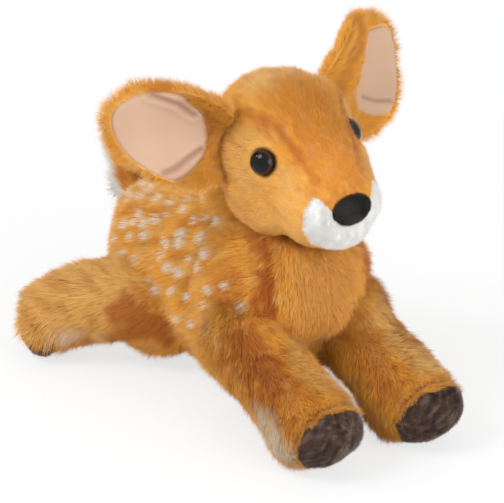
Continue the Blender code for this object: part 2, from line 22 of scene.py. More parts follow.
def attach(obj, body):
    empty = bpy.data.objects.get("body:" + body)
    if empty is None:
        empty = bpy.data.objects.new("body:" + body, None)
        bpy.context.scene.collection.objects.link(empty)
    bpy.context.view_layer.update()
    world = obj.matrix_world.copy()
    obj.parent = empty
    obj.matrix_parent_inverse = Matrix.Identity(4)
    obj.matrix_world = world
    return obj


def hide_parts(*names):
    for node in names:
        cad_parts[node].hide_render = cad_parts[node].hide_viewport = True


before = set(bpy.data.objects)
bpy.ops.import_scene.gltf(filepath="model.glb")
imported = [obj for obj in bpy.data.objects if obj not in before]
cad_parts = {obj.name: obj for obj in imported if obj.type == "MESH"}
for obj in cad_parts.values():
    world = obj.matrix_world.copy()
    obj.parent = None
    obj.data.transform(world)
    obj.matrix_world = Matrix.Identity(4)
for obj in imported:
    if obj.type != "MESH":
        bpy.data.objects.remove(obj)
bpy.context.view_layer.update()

BMesh, Mesh, Object, Array = bmesh.types.BMesh, bpy.types.Mesh, bpy.types.Object, np.ndarray

LOG = logging.getLogger("plush_fawn")
MM = 0.001
STRANDS_PER_PIECE = 49000
STRAND_POINTS = 4
OTHER_SIDE = (1.0, -1.0, 1.0)
MERGE = 1e-6
MOTTLE_SIZE_MM = 11.0
LAP_SLANT = 0.14
GROUND_TONE = 0.3
# GROUND_HEIGHT colours the form under the pile as low in the strands: painted shade, darker than
# the tips
GROUND_HEIGHT = 0.35

# One strand: its four faces, the least height of its points and their places on the bake
STRAND_SIDES = ((0, 1, 3), (1, 2, 3), (2, 0, 3), (0, 2, 1))
STRAND_FLOOR = (0.0, 0.4, 0.2, 1.0)
STRAND_UV = ((0.08, 0.08), (0.5, 0.10), (0.92, 0.08), (0.5, 0.92))

# Places on the parts, in millimetres, and lines along them
HEAD_START_MM = (-20.6, 0.0, 214.3)
HEAD_AHEAD = (0.9336, 0.0, -0.3584)
HEAD_ABOVE = (0.3584, 0.0, 0.9336)
TO_CAMERA = (0.736, -0.535, 0.4147)
NOSE_MM = (104.0, 0.0, 172.0)
EYES = {
    "right": ((58.0, -42.0, 201.8), (0.46, -0.83, 0.31)),
    "left": ((58.5, 36.8, 206.5), (0.52, 0.75, 0.41)),
}


class Shade(Enum):
    """The shades that marks add to a coat; deep and pale are partly its own tones, and partly
    painted shade and painted highlights.
    """

    DEEP = "deep"
    PALE = "pale"
    CREAM = "cream"
    DARK = "dark"


DEEP, PALE, CREAM, DARK = Shade


def unit(vectors: Array) -> Array:
    """Scales each row of an array to length one."""
    return vectors / np.maximum(np.linalg.norm(vectors, axis=-1, keepdims=True), 1e-12)


def ease(share: Array) -> Array:
    """A smooth step from 0 to 1, of a share that is first clipped to that range."""
    share = np.clip(share, 0.0, 1.0)
    return share * share * (3.0 - 2.0 * share)


def along_surface(directions: Array, normals: Array) -> Array:
    """Lays directions flat on a surface with these normals, at length one."""
    return unit(directions - normals * np.sum(directions * normals, axis=1, keepdims=True))


def ripple(points: Array, size: float, seed: int) -> Array:
    """A soft wandering value about 0, from about -1 to 1.

    Args:
        points: Places, one a row.
        size: About how far apart its hills are.
        seed: Which of its patterns it is.

    Returns:
        One value for each place.
    """
    draw = np.random.default_rng(seed)
    total = np.zeros(len(points))
    for _ in range(7):
        way = unit(draw.normal(size=(1, 3)))[0] * (2.0 * math.pi / size) * draw.uniform(0.6, 1.5)
        total += np.sin(points @ way + draw.uniform(0.0, 2.0 * math.pi))
    return total / 2.6


def distance_to_path(points: Array, path: tuple | Array, both: bool = False) -> Array:
    """How far each place is from a path.

    Args:
        points: Places, one a row.
        path: The points of the path, or one point.
        both: Whether the path is on the fawn's other side too.

    Returns:
        One distance for each place.
    """
    line = np.array(path, float).reshape(-1, 3)
    nearest = np.linalg.norm(points - line[0], axis=1)
    for start, end in zip(line, line[1:]):
        run = end - start
        share = np.clip((points - start) @ run / (run @ run), 0.0, 1.0)
        nearest = np.minimum(nearest, np.linalg.norm(points - start - share[:, None] * run, axis=1))
    if both:
        nearest = np.minimum(nearest, distance_to_path(points, line * OTHER_SIDE))
    return nearest


def math_method(operation: str, swapped: bool = False) -> Callable:
    """Makes an operator of a wire that adds a Math node.

    Args:
        operation: What the node does.
        swapped: Whether the wire is the second value.

    Returns:
        The operator's method.
    """

    def method(wire: "Wire", other: object) -> "Wire":
        """Adds the node on the wire and another value."""
        return wire.calc(operation, *((other, wire) if swapped else (wire, other)))

    return method


class Wire:
    """A socket's output, on which sums can be written."""

    __add__ = math_method("ADD")
    __radd__ = math_method("ADD", True)
    __sub__ = math_method("SUBTRACT")
    __mul__ = math_method("MULTIPLY")
    __rmul__ = math_method("MULTIPLY", True)
    __pow__ = math_method("POWER")

    def __init__(self, graph: "Graph", socket: bpy.types.NodeSocket) -> None:
        """Keeps the socket and the graph that it is in."""
        self.graph = graph
        self.socket = socket

    def calc(self, operation: str, *values: object) -> "Wire":
        """Adds a Math node of that operation on these values."""
        return self.graph.add("ShaderNodeMath", {"operation": operation}, dict(enumerate(values)))

    def clipped(self) -> "Wire":
        """The value kept from 0 to 1."""
        return self.calc("MINIMUM", self.calc("MAXIMUM", self, 0.0), 1.0)


class Graph:
    """A node tree that is filled by one call for each node."""

    def __init__(self, tree: bpy.types.NodeTree) -> None:
        """Empties the tree."""
        self.tree = tree
        tree.nodes.clear()

    def add(
        self, kind: str, settings: dict | None = None, sockets: dict | None = None, out: object = 0
    ) -> Wire | None:
        """Adds a node.

        Args:
            kind: The node's type.
            settings: Its settings, and a ramp's stops as (place, colour) pairs.
            sockets: A value or a wire for each input, by name or number.
            out: The output to return, by name or number.

        Returns:
            The wire from that output, or None for a node without one.
        """
        made = self.tree.nodes.new(kind)
        for name, value in (settings or {}).items():
            if name != "stops":
                setattr(made, name, value)
                continue
            ramp = made.color_ramp.elements
            while len(ramp) < len(value):
                ramp.new(0.5)
            for stop, (place, colour) in zip(ramp, value):
                stop.position = place
                stop.color = colour
        for name, value in (sockets or {}).items():
            if isinstance(value, Wire):
                self.tree.links.new(value.socket, made.inputs[name])
            else:
                made.inputs[name].default_value = value
        return Wire(self, made.outputs[out]) if made.outputs else None

    def mark(self, name: str) -> Wire:
        """Reads a number that the mesh keeps at each point."""
        return self.add("ShaderNodeAttribute", {"attribute_name": name}, out="Fac")

    def mixed(self, share: object, first: object, second: object) -> Wire:
        """Mixes two colours by a share."""
        return self.add("ShaderNodeMix", {"data_type": "RGBA"}, {0: share, 6: first, 7: second}, 2)

    def scaled(self, colour: Wire, share: object) -> Wire:
        """Makes a colour lighter or darker by a share."""
        return self.add("ShaderNodeVectorMath", {"operation": "SCALE"}, {0: colour, 3: share})

    def noise(self, size: float, detail: float = 2.0) -> Wire:
        """Cloudy noise on the mesh's own coordinates, with hills this far apart."""
        place = self.add("ShaderNodeTexCoord", out="Object")
        sockets = {"Vector": place, "Scale": 1.0 / size, "Detail": detail}
        return self.add("ShaderNodeTexNoise", None, sockets)

    def bump(self, height: Wire, distance: float, strength: float) -> Wire:
        """A bumped normal from a height that runs from 0 to 1."""
        sockets = {"Height": height, "Distance": distance, "Strength": strength}
        return self.add("ShaderNodeBump", None, sockets)

    def surface(self, **values: object) -> None:
        """Ends the graph in a Principled shader with these inputs, named with _ for a space."""
        named = {name.replace("_", " "): value for name, value in values.items()}
        shader = self.add("ShaderNodeBsdfPrincipled", None, named)
        self.add("ShaderNodeOutputMaterial", None, {"Surface": shader})


def colour(red: float, green: float, blue: float) -> tuple[float, float, float, float]:
    """An opaque colour."""
    return (red, green, blue, 1.0)


@dataclass(frozen=True)
class Finish:
    """A finish that is made once and then found by its name."""

    name: str

    def material(self) -> bpy.types.Material:
        """Makes the material, or returns the one made before.

        Returns:
            The material.
        """
        found = bpy.data.materials.get(self.name)
        if found:
            return found
        made = bpy.data.materials.new(self.name)
        made.use_nodes = True
        self.paint(Graph(made.node_tree))
        return made

    def paint(self, graph: Graph) -> None:
        """Fills the material's graph."""
        raise NotImplementedError


@dataclass(frozen=True)
class Coat(Finish):
    """A pile fabric: its own colour, the colours of its marks and how its strands catch light."""

    base: tuple
    deep: tuple
    pale: tuple
    cream: tuple
    dark: tuple
    # root: the level at a strand's root, below that at its tip: painted shade, as deep in the pile
    root: float = 0.66
    vary: float = 0.16
    roughness: float = 0.62
    sheen: float = 0.15
    gleam: float = 0.22
    cloud_size: float = 0.006

    def paint(self, graph: Graph) -> None:
        """Mixes the marks' colours and paints shade on each strand, darker at its root than at its
        tip.

        Args:
            graph: The material's graph.
        """
        tone = graph.mark("tone")
        hue = self.base
        for shade in (PALE, DEEP, CREAM, DARK):
            hue = graph.mixed(graph.mark(shade.value), hue, getattr(self, shade.value))
        # Painted shade: the colour darkens from each strand's tip towards its root
        level = self.root + (1.0 - self.root) * graph.mark("height") ** 0.7
        cloud = graph.noise(self.cloud_size, 3.0)
        level = level * (self.vary * (tone + 1.6 * cloud) + (1.0 - 1.3 * self.vary))
        graph.surface(
            Base_Color=graph.scaled(hue, level),
            Roughness=0.10 * tone + (self.roughness - 0.05),
            Sheen_Weight=self.sheen,
            Sheen_Roughness=0.45,
            Specular_IOR_Level=self.gleam,
        )


# TAWNY's deep colour is both its darker tone and painted shade in creases; its pale colour is both
# its paler tone and a painted highlight where a mark puts it
TAWNY = Coat(
    "tawny_pile",
    colour(1.00, 0.44, 0.060),
    colour(0.59, 0.150, 0.018),
    colour(1.00, 0.58, 0.185),
    colour(1.00, 0.93, 0.78),
    colour(0.030, 0.018, 0.014),
)
WHITE = Coat(
    "white_pile",
    colour(0.97, 0.96, 0.92),
    colour(0.75, 0.48, 0.24),
    colour(0.98, 0.97, 0.95),
    colour(0.98, 0.97, 0.95),
    colour(0.060, 0.040, 0.030),
    root=0.86,
)
# HOOF's pale colour is both paler streaks and the painted highlight along the ridge; its deep
# colour is both darker streaks and painted shade beside the ridge
HOOF = Coat(
    "hoof_pile",
    colour(0.105, 0.058, 0.038),
    colour(0.032, 0.017, 0.012),
    colour(0.360, 0.240, 0.175),
    colour(0.800, 0.330, 0.050),
    colour(0.020, 0.013, 0.010),
    root=0.55,
    vary=0.62,
    sheen=0.30,
)
# BLACK's pale colour is the painted sheen low on the nose pad
BLACK = Coat(
    "nose_pile",
    colour(0.022, 0.018, 0.015),
    colour(0.008, 0.007, 0.006),
    colour(0.085, 0.075, 0.062),
    colour(0.100, 0.090, 0.085),
    colour(0.004, 0.004, 0.004),
    root=0.45,
    vary=0.55,
    sheen=0.10,
    gleam=0.30,
)


@dataclass(frozen=True)
class Satin(Finish):
    """A smooth satin cloth with a fine twill."""

    name: str = "satin_cloth"
    base: tuple = colour(0.56, 0.360, 0.240)
    # Painted shade for the lining's folds
    fold_shade: tuple = colour(0.33, 0.175, 0.110)
    thread: float = 0.0008

    def paint(self, graph: Graph) -> None:
        """Paints shade into the folds and draws the twill.

        Args:
            graph: The material's graph.
        """
        place = graph.add("ShaderNodeTexCoord", out="Object")
        twill = graph.add(
            "ShaderNodeTexWave",
            {"wave_type": "BANDS", "bands_direction": "DIAGONAL"},
            {"Vector": place, "Scale": 0.32 / self.thread, "Distortion": 1.2, "Detail": 1.0},
            out="Fac",
        )
        cloud = graph.noise(0.018, 3.0)
        # Painted shade: the folds darken by the deep mark, with a little cloud
        fold_shade_share = (graph.mark(DEEP.value) + 0.22 * cloud - 0.06).clipped()
        hue = graph.mixed(fold_shade_share, self.base, self.fold_shade)
        graph.surface(
            Base_Color=graph.scaled(hue, 0.97 + 0.04 * twill),
            Roughness=0.44 + 0.12 * cloud,
            Normal=graph.bump(twill * 0.15 + graph.noise(0.009) * 0.8, 0.00035, 0.55),
            Sheen_Weight=0.30,
            Sheen_Roughness=0.35,
            Specular_IOR_Level=0.40,
        )


@dataclass(frozen=True)
class EyeGloss(Finish):
    """A domed eye: a black pupil, a dark brown iris and a black rim under a clear gloss."""

    name: str = "eye_dome"
    pupil: tuple = colour(0.003, 0.002, 0.002)
    iris: tuple = colour(0.045, 0.013, 0.006)
    rim: tuple = colour(0.005, 0.003, 0.003)

    def paint(self, graph: Graph) -> None:
        """Draws the rings, with faint streaks in the iris.

        Args:
            graph: The material's graph.
        """
        ring = graph.mark("ring") + 0.05 * graph.noise(0.0012, 4.0)
        stops = (
            (0.0, self.pupil),
            (0.76, self.pupil),
            (0.86, self.iris),
            (0.93, self.iris),
            (0.99, self.rim),
        )
        graph.surface(
            Base_Color=graph.add("ShaderNodeValToRGB", {"stops": stops}, {"Fac": ring}),
            Roughness=0.05 + 0.03 * graph.noise(0.004),
            Coat_Weight=1.0,
            Coat_Roughness=0.02,
            Coat_IOR=1.25,
            Specular_IOR_Level=0.08,
        )


@dataclass(frozen=True)
class Plastic(Finish):
    """Plain moulded plastic with a faint grain."""

    name: str = "washer_moulding"
    base: tuple = colour(0.70, 0.70, 0.67)
    shade: tuple = colour(0.62, 0.62, 0.60)

    def paint(self, graph: Graph) -> None:
        """Clouds the colour a little and draws the grain.

        Args:
            graph: The material's graph.
        """
        cloud = graph.noise(0.002, 3.0)
        graph.surface(
            Base_Color=graph.mixed(cloud, self.base, self.shade),
            Roughness=0.38 + 0.15 * cloud,
            Normal=graph.bump(graph.noise(0.0006), 0.00005, 0.5),
        )


@dataclass(frozen=True)
class Mark:
    """A mark on the coat: a shade along a path of points, as wide as its radius.

    A mark with both set is also on the other side of the fawn.
    """

    shade: Shade
    radius: float
    strength: float
    path: tuple
    soft: float = 0.6
    both: bool = True
    mottle: float = 0.25

    def strength_at(self, points_mm: Array) -> Array:
        """How strongly each place takes the shade.

        Args:
            points_mm: Places in millimetres, one a row.

        Returns:
            A strength from 0 to 1 for each place.
        """
        apart = distance_to_path(points_mm, self.path, self.both)
        apart += self.mottle * self.radius * ripple(points_mm, MOTTLE_SIZE_MM, 7)
        edge = self.radius * self.soft
        return self.strength * ease((self.radius + 0.5 * edge - apart) / edge)


@dataclass(frozen=True)
class Streaks:
    """Wandering streaks of a shade that run along the coat."""

    shade: Shade
    strength: float
    along: tuple
    size: float
    seed: int
    stretch: float = 3.0

    def strength_at(self, points_mm: Array) -> Array:
        """How strongly each place takes the shade, as Mark says."""
        way = unit(np.array([self.along], float))[0]
        run = points_mm @ way * (1.0 - 1.0 / self.stretch)
        hills = ripple(points_mm - run[:, None] * way, self.size, self.seed)
        return self.strength * ease(hills / 0.9)


@dataclass(frozen=True)
class Lap:
    """A shade where a leg's cloth laps over its hoof, a little further on top than below."""

    shade: Shade
    seam_mm: tuple
    facing: tuple
    cover: float

    def strength_at(self, points_mm: Array) -> Array:
        """How strongly each place takes the shade, as Mark says."""
        from_seam = points_mm - np.array(self.seam_mm)
        before = self.cover + LAP_SLANT * from_seam[:, 2] - from_seam @ np.array(self.facing)
        return ease(before - ripple(points_mm, 12.0, 2) + 0.5)


FLANK_SPOTS_MM = (
    (-95, -25, 122), (-78, -31, 123), (-99, -32, 116), (-42, -29, 133), (-38, -22, 142),
    (-87, -39, 109), (-64, -40, 114), (-54, -37, 120), (-90, -42, 103), (-102, -43, 98),
    (-73, -45, 101), (-49, -45, 106), (-37, -34, 129), (-28, -45, 111), (-95, -48, 80),
    (-78, -49, 82), (-47, -48, 96), (-57, -22, 134), (-59, -31, 126), (-25, -27, 142),
    (-89, -46, 94), (-112, -44, 84), (-79, -61, 73), (-61, -50, 73), (-66, -60, 66),
    (-53, -50, 69), (-32, -50, 76), (-37, -49, 91), (-26, -49, 92), (-16, -47, 105),
    (-4, -48, 103), (10, -50, 82), (13, -50, 93), (-11, -48, 58), (-27, -47, 56),
    (24, -55, 68), (49, -50, 93), (43, -50, 84), (32, -50, 104), (-77, -42, 107),
    (-41, -46, 105), (-29, -43, 117), (-21, -38, 129), (-10, -38, 137), (-6, -30, 148),
)


def spot_mark(place: tuple, radius: float) -> Mark:
    """A soft cream spot on both sides."""
    return Mark(CREAM, radius, 0.9, place, 0.9, True, 0.14)


def flank_spots() -> list[Mark]:
    """The cream spots of both flanks, each of its own size."""
    sizes = np.random.default_rng(5).uniform(2.6, 4.2, len(FLANK_SPOTS_MM))
    return [spot_mark(spot, float(size)) for size, spot in zip(sizes, FLANK_SPOTS_MM)]


EAR_CREASE_PATH = ((6, -42, 228), (13, -47, 207), (18, -49, 186), (20, -47, 166))
BROW_PATH = (
    (42, -35.3, 228), (48, -32.8, 227), (53, -29.4, 224.6), (61.5, -25.9, 218), (70.4, -23.8, 210),
    (78.2, -20.8, 203),
)
NECK_PATH = (
    (50, -38, 141), (57, -39, 132), (61, -40, 122), (63, -41, 108), (62, -42, 93), (58, -42, 83),
)
BODY_MARKS = (
    Streaks(DEEP, 0.34, (-1.0, 0.0, -0.4), 12.0, 3),
    Streaks(PALE, 0.4, (-1.0, 0.0, -0.4), 13.0, 4),
    # Painted shade: these deep marks darken the neck's crease, under the head, the shoulders and
    # their folds, under the thighs and the belly's crease by the front legs
    Mark(DEEP, 8.0, 1.0, NECK_PATH, 1.3, True, 0.4),
    Mark(DEEP, 15.0, 0.85, ((30, -26, 152), (50, -20, 146), (60, 0, 143)), 1.0),
    Mark(DEEP, 16.0, 0.6, ((34, -52, 104), (32, -55, 78)), 1.2),
    Mark(DEEP, 13.0, 0.85, ((-86, -64, 38), (-62, -60, 40), (-45, -50, 38))),
    Mark(DEEP, 12.0, 0.4, ((15, -50, 66), (40, -50, 74), (62, -46, 70))),
    Mark(DEEP, 9.0, 0.35, ((-10, -44, 150), (2, -48, 132), (4, -50, 112))),
    Mark(PALE, 30.0, 0.4, ((86, 0, 104), (80, 0, 84))),
    Mark(DEEP, 24.0, 0.28, ((80, 0, 120), (80, 0, 84)), 1.2),
    Mark(PALE, 22.0, 0.55, ((-110, -46, 60), (-90, -55, 52))),
    Mark(PALE, 12.0, 0.45, ((-2, -44, 120), (-8, -48, 100))),
    Mark(PALE, 30.0, 0.7, ((-120, 0, 120), (-60, 0, 140), (-20, 0, 165)), 0.9),
)
HEAD_MARKS = (
    Streaks(DEEP, 0.26, (-1.0, 0.0, 0.3), 11.0, 5),
    Streaks(PALE, 0.34, (-1.0, 0.0, 0.3), 12.0, 6),
    # The brow marks are partly the coat's darker line and partly painted shade in the brow's
    # valley; the marks in the crease at the ear's root and under the chin are painted shade
    Mark(DEEP, 3.7, 0.8, BROW_PATH, 2.0, True, 0.4),
    Mark(DEEP, 3.6, 0.6, ((23, -36.3, 227.7), (35, -36.9, 229), BROW_PATH[0]), 1.6, True, 0.5),
    Mark(DEEP, 3.4, 0.6, (BROW_PATH[-1], (86, -18, 196), (93, -16.8, 190)), 1.8, True, 0.5),
    Mark(DEEP, 24.0, 0.42, ((50, 0, 236), (76, 0, 212), (96, 0, 192)), 0.9),
    Mark(DEEP, 6.0, 0.75, EAR_CREASE_PATH, 1.0),
    Mark(DEEP, 13.0, 0.75, ((30, -24, 150), (60, -20, 148), (70, 0, 142)), 0.9),
    Mark(PALE, 20.0, 0.48, ((45, -42, 172), (70, -38, 168), (84, -34, 165)), 0.9),
    Mark(PALE, 14.0, 0.6, ((26, -46, 205), (38, -46, 212), (40, -46, 190)), 0.9),
    Mark(PALE, 16.0, 0.85, ((18, -20, 246), (18, 20, 246)), 1.0),
    Mark(PALE, 7.0, 0.6, ((72, -34, 194), (82, -31, 186)), 0.9),
    Mark(PALE, 5.0, 0.55, ((46, -42, 213), (58, -38, 213)), 0.9),
)
LEG_MARKS = (
    Streaks(DEEP, 0.36, (0.95, 0.0, -0.3), 12.0, 7),
    Streaks(PALE, 0.42, (0.95, 0.0, -0.3), 13.0, 8),
    # Painted shade: the deep marks at the front legs' tops, where they meet the body, and on the
    # left front leg's inner side
    Mark(DEEP, 15.0, 0.82, ((64, -57, 72), (80, -60, 64), (102, -62, 55)), 1.2, True, 0.4),
    Mark(DEEP, 11.0, 0.45, ((94, 20, 57), (125, 17, 43)), 1.2, False, 0.4),
    Mark(CREAM, 10.0, 0.75, ((100, -76, 34), (122, -72, 20)), 1.5),
    Mark(CREAM, 10.0, 0.7, ((-78, -86, 24), (-100, -104, 20)), 1.5),
    Mark(CREAM, 7.0, 0.6, ((112, -22, 50), (130, -22, 40)), 1.4, False),
    Mark(PALE, 9.0, 0.55, ((96, -40, 72), (124, -38, 58)), 0.9),
    # Painted highlight: the pale mark on the left front leg's top
    Mark(PALE, 15.0, 0.9, ((76, 48, 70), (126, 46, 52)), 1.0, False),
    Mark(PALE, 9.0, 0.55, ((110, -68, 30), (126, -64, 14)), 0.9),
    Mark(PALE, 32.0, 0.72, ((-95, -72, 62), (-120, -98, 44)), 0.8),
    # Painted shade: the deep marks in the hind legs' creases
    Mark(DEEP, 12.0, 0.8, ((-70, -67, 50), (-58, -56, 42), (-84, -60, 26)), 0.8),
    Mark(DEEP, 8.0, 0.55, ((-118, -94, 18), (-100, -82, 24)), 0.9),
)
TAIL_MARKS = (Mark(DEEP, 12.0, 0.75, ((-136, 0, 92), (-150, 0, 112), (-158, 0, 122))),)
# Painted sheen: a paler patch low on the nose pad
NOSE_SHEEN_MARKS = (Mark(PALE, 8.0, 0.55, ((112, 3, 165),), 1.2, False),)


def eye_marks() -> tuple[Mark, ...]:
    """The dark rims round both eyes, each with its tear duct.

    Returns:
        The marks of both eyes.
    """
    marks = []
    for (x, y, z), _ in EYES.values():
        side = math.copysign(1.0, y)
        duct = ((x + 6.0, y - 2.0 * side, z - 1.5), (x + 13.5, y - 5.0 * side, z - 4.5))
        marks.append(Mark(DARK, 10.6, 1.0, (x, y, z), 0.25, False, 0.05))
        marks.append(Mark(DARK, 2.0, 0.9, duct, 0.8, False, 0.1))
    return tuple(marks)


def shades_at(points: Array, marks: tuple[Mark, ...]) -> dict[str, Array]:
    """Reads the marks at each place.

    Args:
        points: Places in metres, one a row.
        marks: The marks that may reach them.

    Returns:
        How strongly each place takes each shade, by the shade's name.
    """
    places = points / MM
    found = {shade.value: np.zeros(len(points)) for shade in Shade}
    for mark in marks:
        name = mark.shade.value
        found[name] = np.maximum(found[name], mark.strength_at(places))
    return found


@dataclass(frozen=True)
class Mass:
    """A stuffed mass that fills a form out: an ellipsoid, and one on the other side if both."""

    centre_mm: tuple
    radii_mm: tuple
    pitch: float = 0.0
    turn: float = 0.0
    both: bool = False

    def add_to(self, work: BMesh) -> None:
        """Adds the mass to a bmesh.

        Args:
            work: The bmesh.
        """
        for side in (1.0, -1.0) if self.both else (1.0,):
            place = Vector(self.centre_mm) * MM
            place.y *= side
            spin = Matrix.Rotation(math.radians(self.turn * side), 4, "Z")
            spin = spin @ Matrix.Rotation(math.radians(self.pitch), 4, "Y")
            size = Matrix.Diagonal((*(Vector(self.radii_mm) * MM), 1.0))
            spheroid = Matrix.Translation(place) @ spin @ size
            bmesh.ops.create_uvsphere(
                work, u_segments=28, v_segments=18, radius=1.0, matrix=spheroid
            )


@dataclass(frozen=True)
class Dent:
    """A soft crease pressed into a form along a path, or a ridge where its depth is negative."""

    path: tuple
    radius: float
    depth: float
    both: bool = False

    def depth_at(self, points_mm: Array) -> Array:
        """How deep the crease is at each place, in millimetres."""
        apart = distance_to_path(points_mm, self.path, self.both)
        return self.depth * np.exp(-((apart / self.radius) ** 2))


def into_scene(name: str, data: bpy.types.ID) -> Object:
    """Makes an object of a mesh, a lamp or a camera, and puts it in the scene."""
    made = bpy.data.objects.new(name, data)
    bpy.context.scene.collection.objects.link(made)
    return made


def mesh_object(name: str, work: BMesh) -> Object:
    """Turns a bmesh into an object in the scene, and frees the bmesh.

    Args:
        name: The name of the object and its mesh.
        work: The bmesh.

    Returns:
        The object.
    """
    mesh = bpy.data.meshes.new(name)
    work.to_mesh(mesh)
    work.free()
    return into_scene(name, mesh)


def relax(work: BMesh, points: list, times: int) -> None:
    """Smooths points of a bmesh a number of times."""
    axes = {"use_axis_x": True, "use_axis_y": True, "use_axis_z": True}
    for _ in range(times):
        bmesh.ops.smooth_vert(work, verts=points, factor=0.5, **axes)


def from_parts(names: tuple[str, ...]) -> BMesh:
    """Merges copies of parts.

    Args:
        names: The parts' names.

    Returns:
        A bmesh of them.
    """
    work = bmesh.new()
    for name in names:
        work.from_mesh(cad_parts[name].data)
    bmesh.ops.remove_doubles(work, verts=work.verts, dist=MERGE)
    return work


def hull_of(names: tuple[str, ...]) -> BMesh:
    """Makes the tight closed skin round parts.

    Args:
        names: The parts' names.

    Returns:
        A bmesh of the skin.
    """
    work = from_parts(names)
    found = bmesh.ops.convex_hull(work, input=work.verts[:])
    hull_faces = {item for item in found["geom"] if isinstance(item, bmesh.types.BMFace)}
    stray = [face for face in work.faces if face not in hull_faces]
    bmesh.ops.delete(work, geom=stray, context="FACES")
    loose = [point for point in work.verts if not point.link_faces]
    bmesh.ops.delete(work, geom=loose, context="VERTS")
    bmesh.ops.recalc_face_normals(work, faces=work.faces)
    return work


def keep_largest(work: BMesh) -> None:
    """Deletes every island of a mesh but the largest.

    Args:
        work: The bmesh of the mesh.
    """
    left, islands = set(work.verts), []
    while left:
        island, edge = set(), [left.pop()]
        while edge:
            point = edge.pop()
            island.add(point)
            near = {link.other_vert(point) for link in point.link_edges} & left
            left -= near
            edge.extend(near)
        islands.append(island)
    largest = max(islands, key=len)
    stray = [point for point in work.verts if point not in largest]
    bmesh.ops.delete(work, geom=stray, context="VERTS")


def make_even(piece: Object, voxel: float, times: int) -> None:
    """Makes a piece one even closed surface.

    Args:
        piece: The object, whose mesh may overlap itself.
        voxel: How far apart the new points are.
        times: How many times the surface is smoothed.
    """
    remesh = piece.modifiers.new("even surface", "REMESH")
    remesh.mode = "VOXEL"
    remesh.voxel_size = voxel
    graph = bpy.context.evaluated_depsgraph_get()
    even = bpy.data.meshes.new_from_object(piece.evaluated_get(graph))
    piece.modifiers.clear()
    piece.data = even
    even.name = piece.name
    work = bmesh.new()
    work.from_mesh(even)
    keep_largest(work)
    relax(work, work.verts[:], times)
    bmesh.ops.recalc_face_normals(work, faces=work.faces)
    work.to_mesh(even)
    work.free()
    even.shade_smooth()


def points_of(mesh: Mesh, field: str = "co") -> Array:
    """Reads a vector of each of a mesh's points.

    Args:
        mesh: The mesh.
        field: The vector's name, which is the point's place if not said.

    Returns:
        The vectors, one a row.
    """
    flat = np.empty(len(mesh.vertices) * 3, np.float32)
    mesh.vertices.foreach_get(field, flat)
    return flat.reshape(-1, 3).astype(float)


def normals_of(mesh: Mesh) -> Array:
    """The normals at a mesh's points, one a row."""
    return points_of(mesh, "normal")


def place_points(mesh: Mesh, points: Array) -> None:
    """Moves a mesh's points to these places."""
    mesh.vertices.foreach_set("co", points.astype(np.float32).ravel())
    mesh.update()


def keep_marks(mesh: Mesh, values: dict[str, Array]) -> None:
    """Writes a number for each point into the mesh, by name."""
    for name, numbers in values.items():
        kept = mesh.attributes.new(name, "FLOAT", "POINT")
        kept.data.foreach_set("value", np.asarray(numbers, np.float32))


def tree_of(mesh: Mesh) -> BVHTree:
    """A search tree of a mesh's faces."""
    places = [point.co for point in mesh.vertices]
    return BVHTree.FromPolygons(places, [face.vertices for face in mesh.polygons])


def depth_inside(points: Array, tree: BVHTree) -> Array:
    """How deep places are inside a closed surface.

    Args:
        points: The places, one a row.
        tree: The surface's search tree.

    Returns:
        A depth for each place, below 0 outside the surface.
    """
    depths = np.empty(len(points))
    for index, point in enumerate(points):
        place = Vector(point)
        nearest, normal, _, _ = tree.find_nearest(place)
        depths[index] = (nearest - place).dot(normal)
    return depths


def press(mesh: Mesh, dents: tuple[Dent, ...]) -> None:
    """Presses creases into a mesh, and keeps it above the floor.

    Args:
        mesh: The mesh.
        dents: The creases.
    """
    points, normals = points_of(mesh), normals_of(mesh)
    for dent in dents:
        points -= normals * (dent.depth_at(points / MM) * MM)[:, None]
    points[:, 2] = np.maximum(points[:, 2], 0.0)
    place_points(mesh, points)


@dataclass(frozen=True)
class Stuffing:
    """How a stuffed form is made: its parts, the masses that fill it out and its creases."""

    name: str
    parts: tuple
    voxel: float
    times: int
    masses: tuple = ()
    dents: tuple = ()
    hull: bool = False

    def build(self) -> Object:
        """Makes the form as one closed surface that stays above the floor.

        Returns:
            The form.
        """
        work = hull_of(self.parts) if self.hull else from_parts(self.parts)
        for mass in self.masses:
            mass.add_to(work)
        piece = mesh_object(self.name, work)
        make_even(piece, self.voxel, self.times)
        press(piece.data, self.dents)
        return piece


@dataclass
class Roots:
    """Where strands grow: their places and the surface's normals there."""

    points: Array
    normals: Array

    def only(self, kept: Array) -> "Roots":
        """The roots where an array of truths says so."""
        return Roots(self.points[kept], self.normals[kept])

    def clear_of(self, tree: BVHTree, depth: float) -> "Roots":
        """The roots that are less than a depth inside a closed surface."""
        return self.only(depth_inside(self.points, tree) < depth)


def scatter(mesh: Mesh, per_mm2: float, seed: int) -> Roots:
    """Spreads roots evenly at random over a mesh.

    Args:
        mesh: The surface.
        per_mm2: How many roots there are on a square millimetre.
        seed: The seed of the draw.

    Returns:
        The roots.
    """
    mesh.calc_loop_triangles()
    corners = np.empty(len(mesh.loop_triangles) * 3, np.int32)
    mesh.loop_triangles.foreach_get("vertices", corners)
    corners = corners.reshape(-1, 3)
    points, normals = points_of(mesh)[corners], normals_of(mesh)[corners]
    sides = np.cross(points[:, 1] - points[:, 0], points[:, 2] - points[:, 0])
    areas = 0.5 * np.linalg.norm(sides, axis=1)
    draw = np.random.default_rng(seed)
    count = int(areas.sum() / MM**2 * per_mm2)
    spots = draw.choice(len(areas), count, p=areas / areas.sum())
    a, b = draw.random(count), draw.random(count)
    over = a + b > 1.0
    a[over], b[over] = 1.0 - a[over], 1.0 - b[over]
    weights = np.stack([1.0 - a - b, a, b], axis=1)[:, :, None]
    places = (points[spots] * weights).sum(axis=1)
    return Roots(places, unit((normals[spots] * weights).sum(axis=1)))


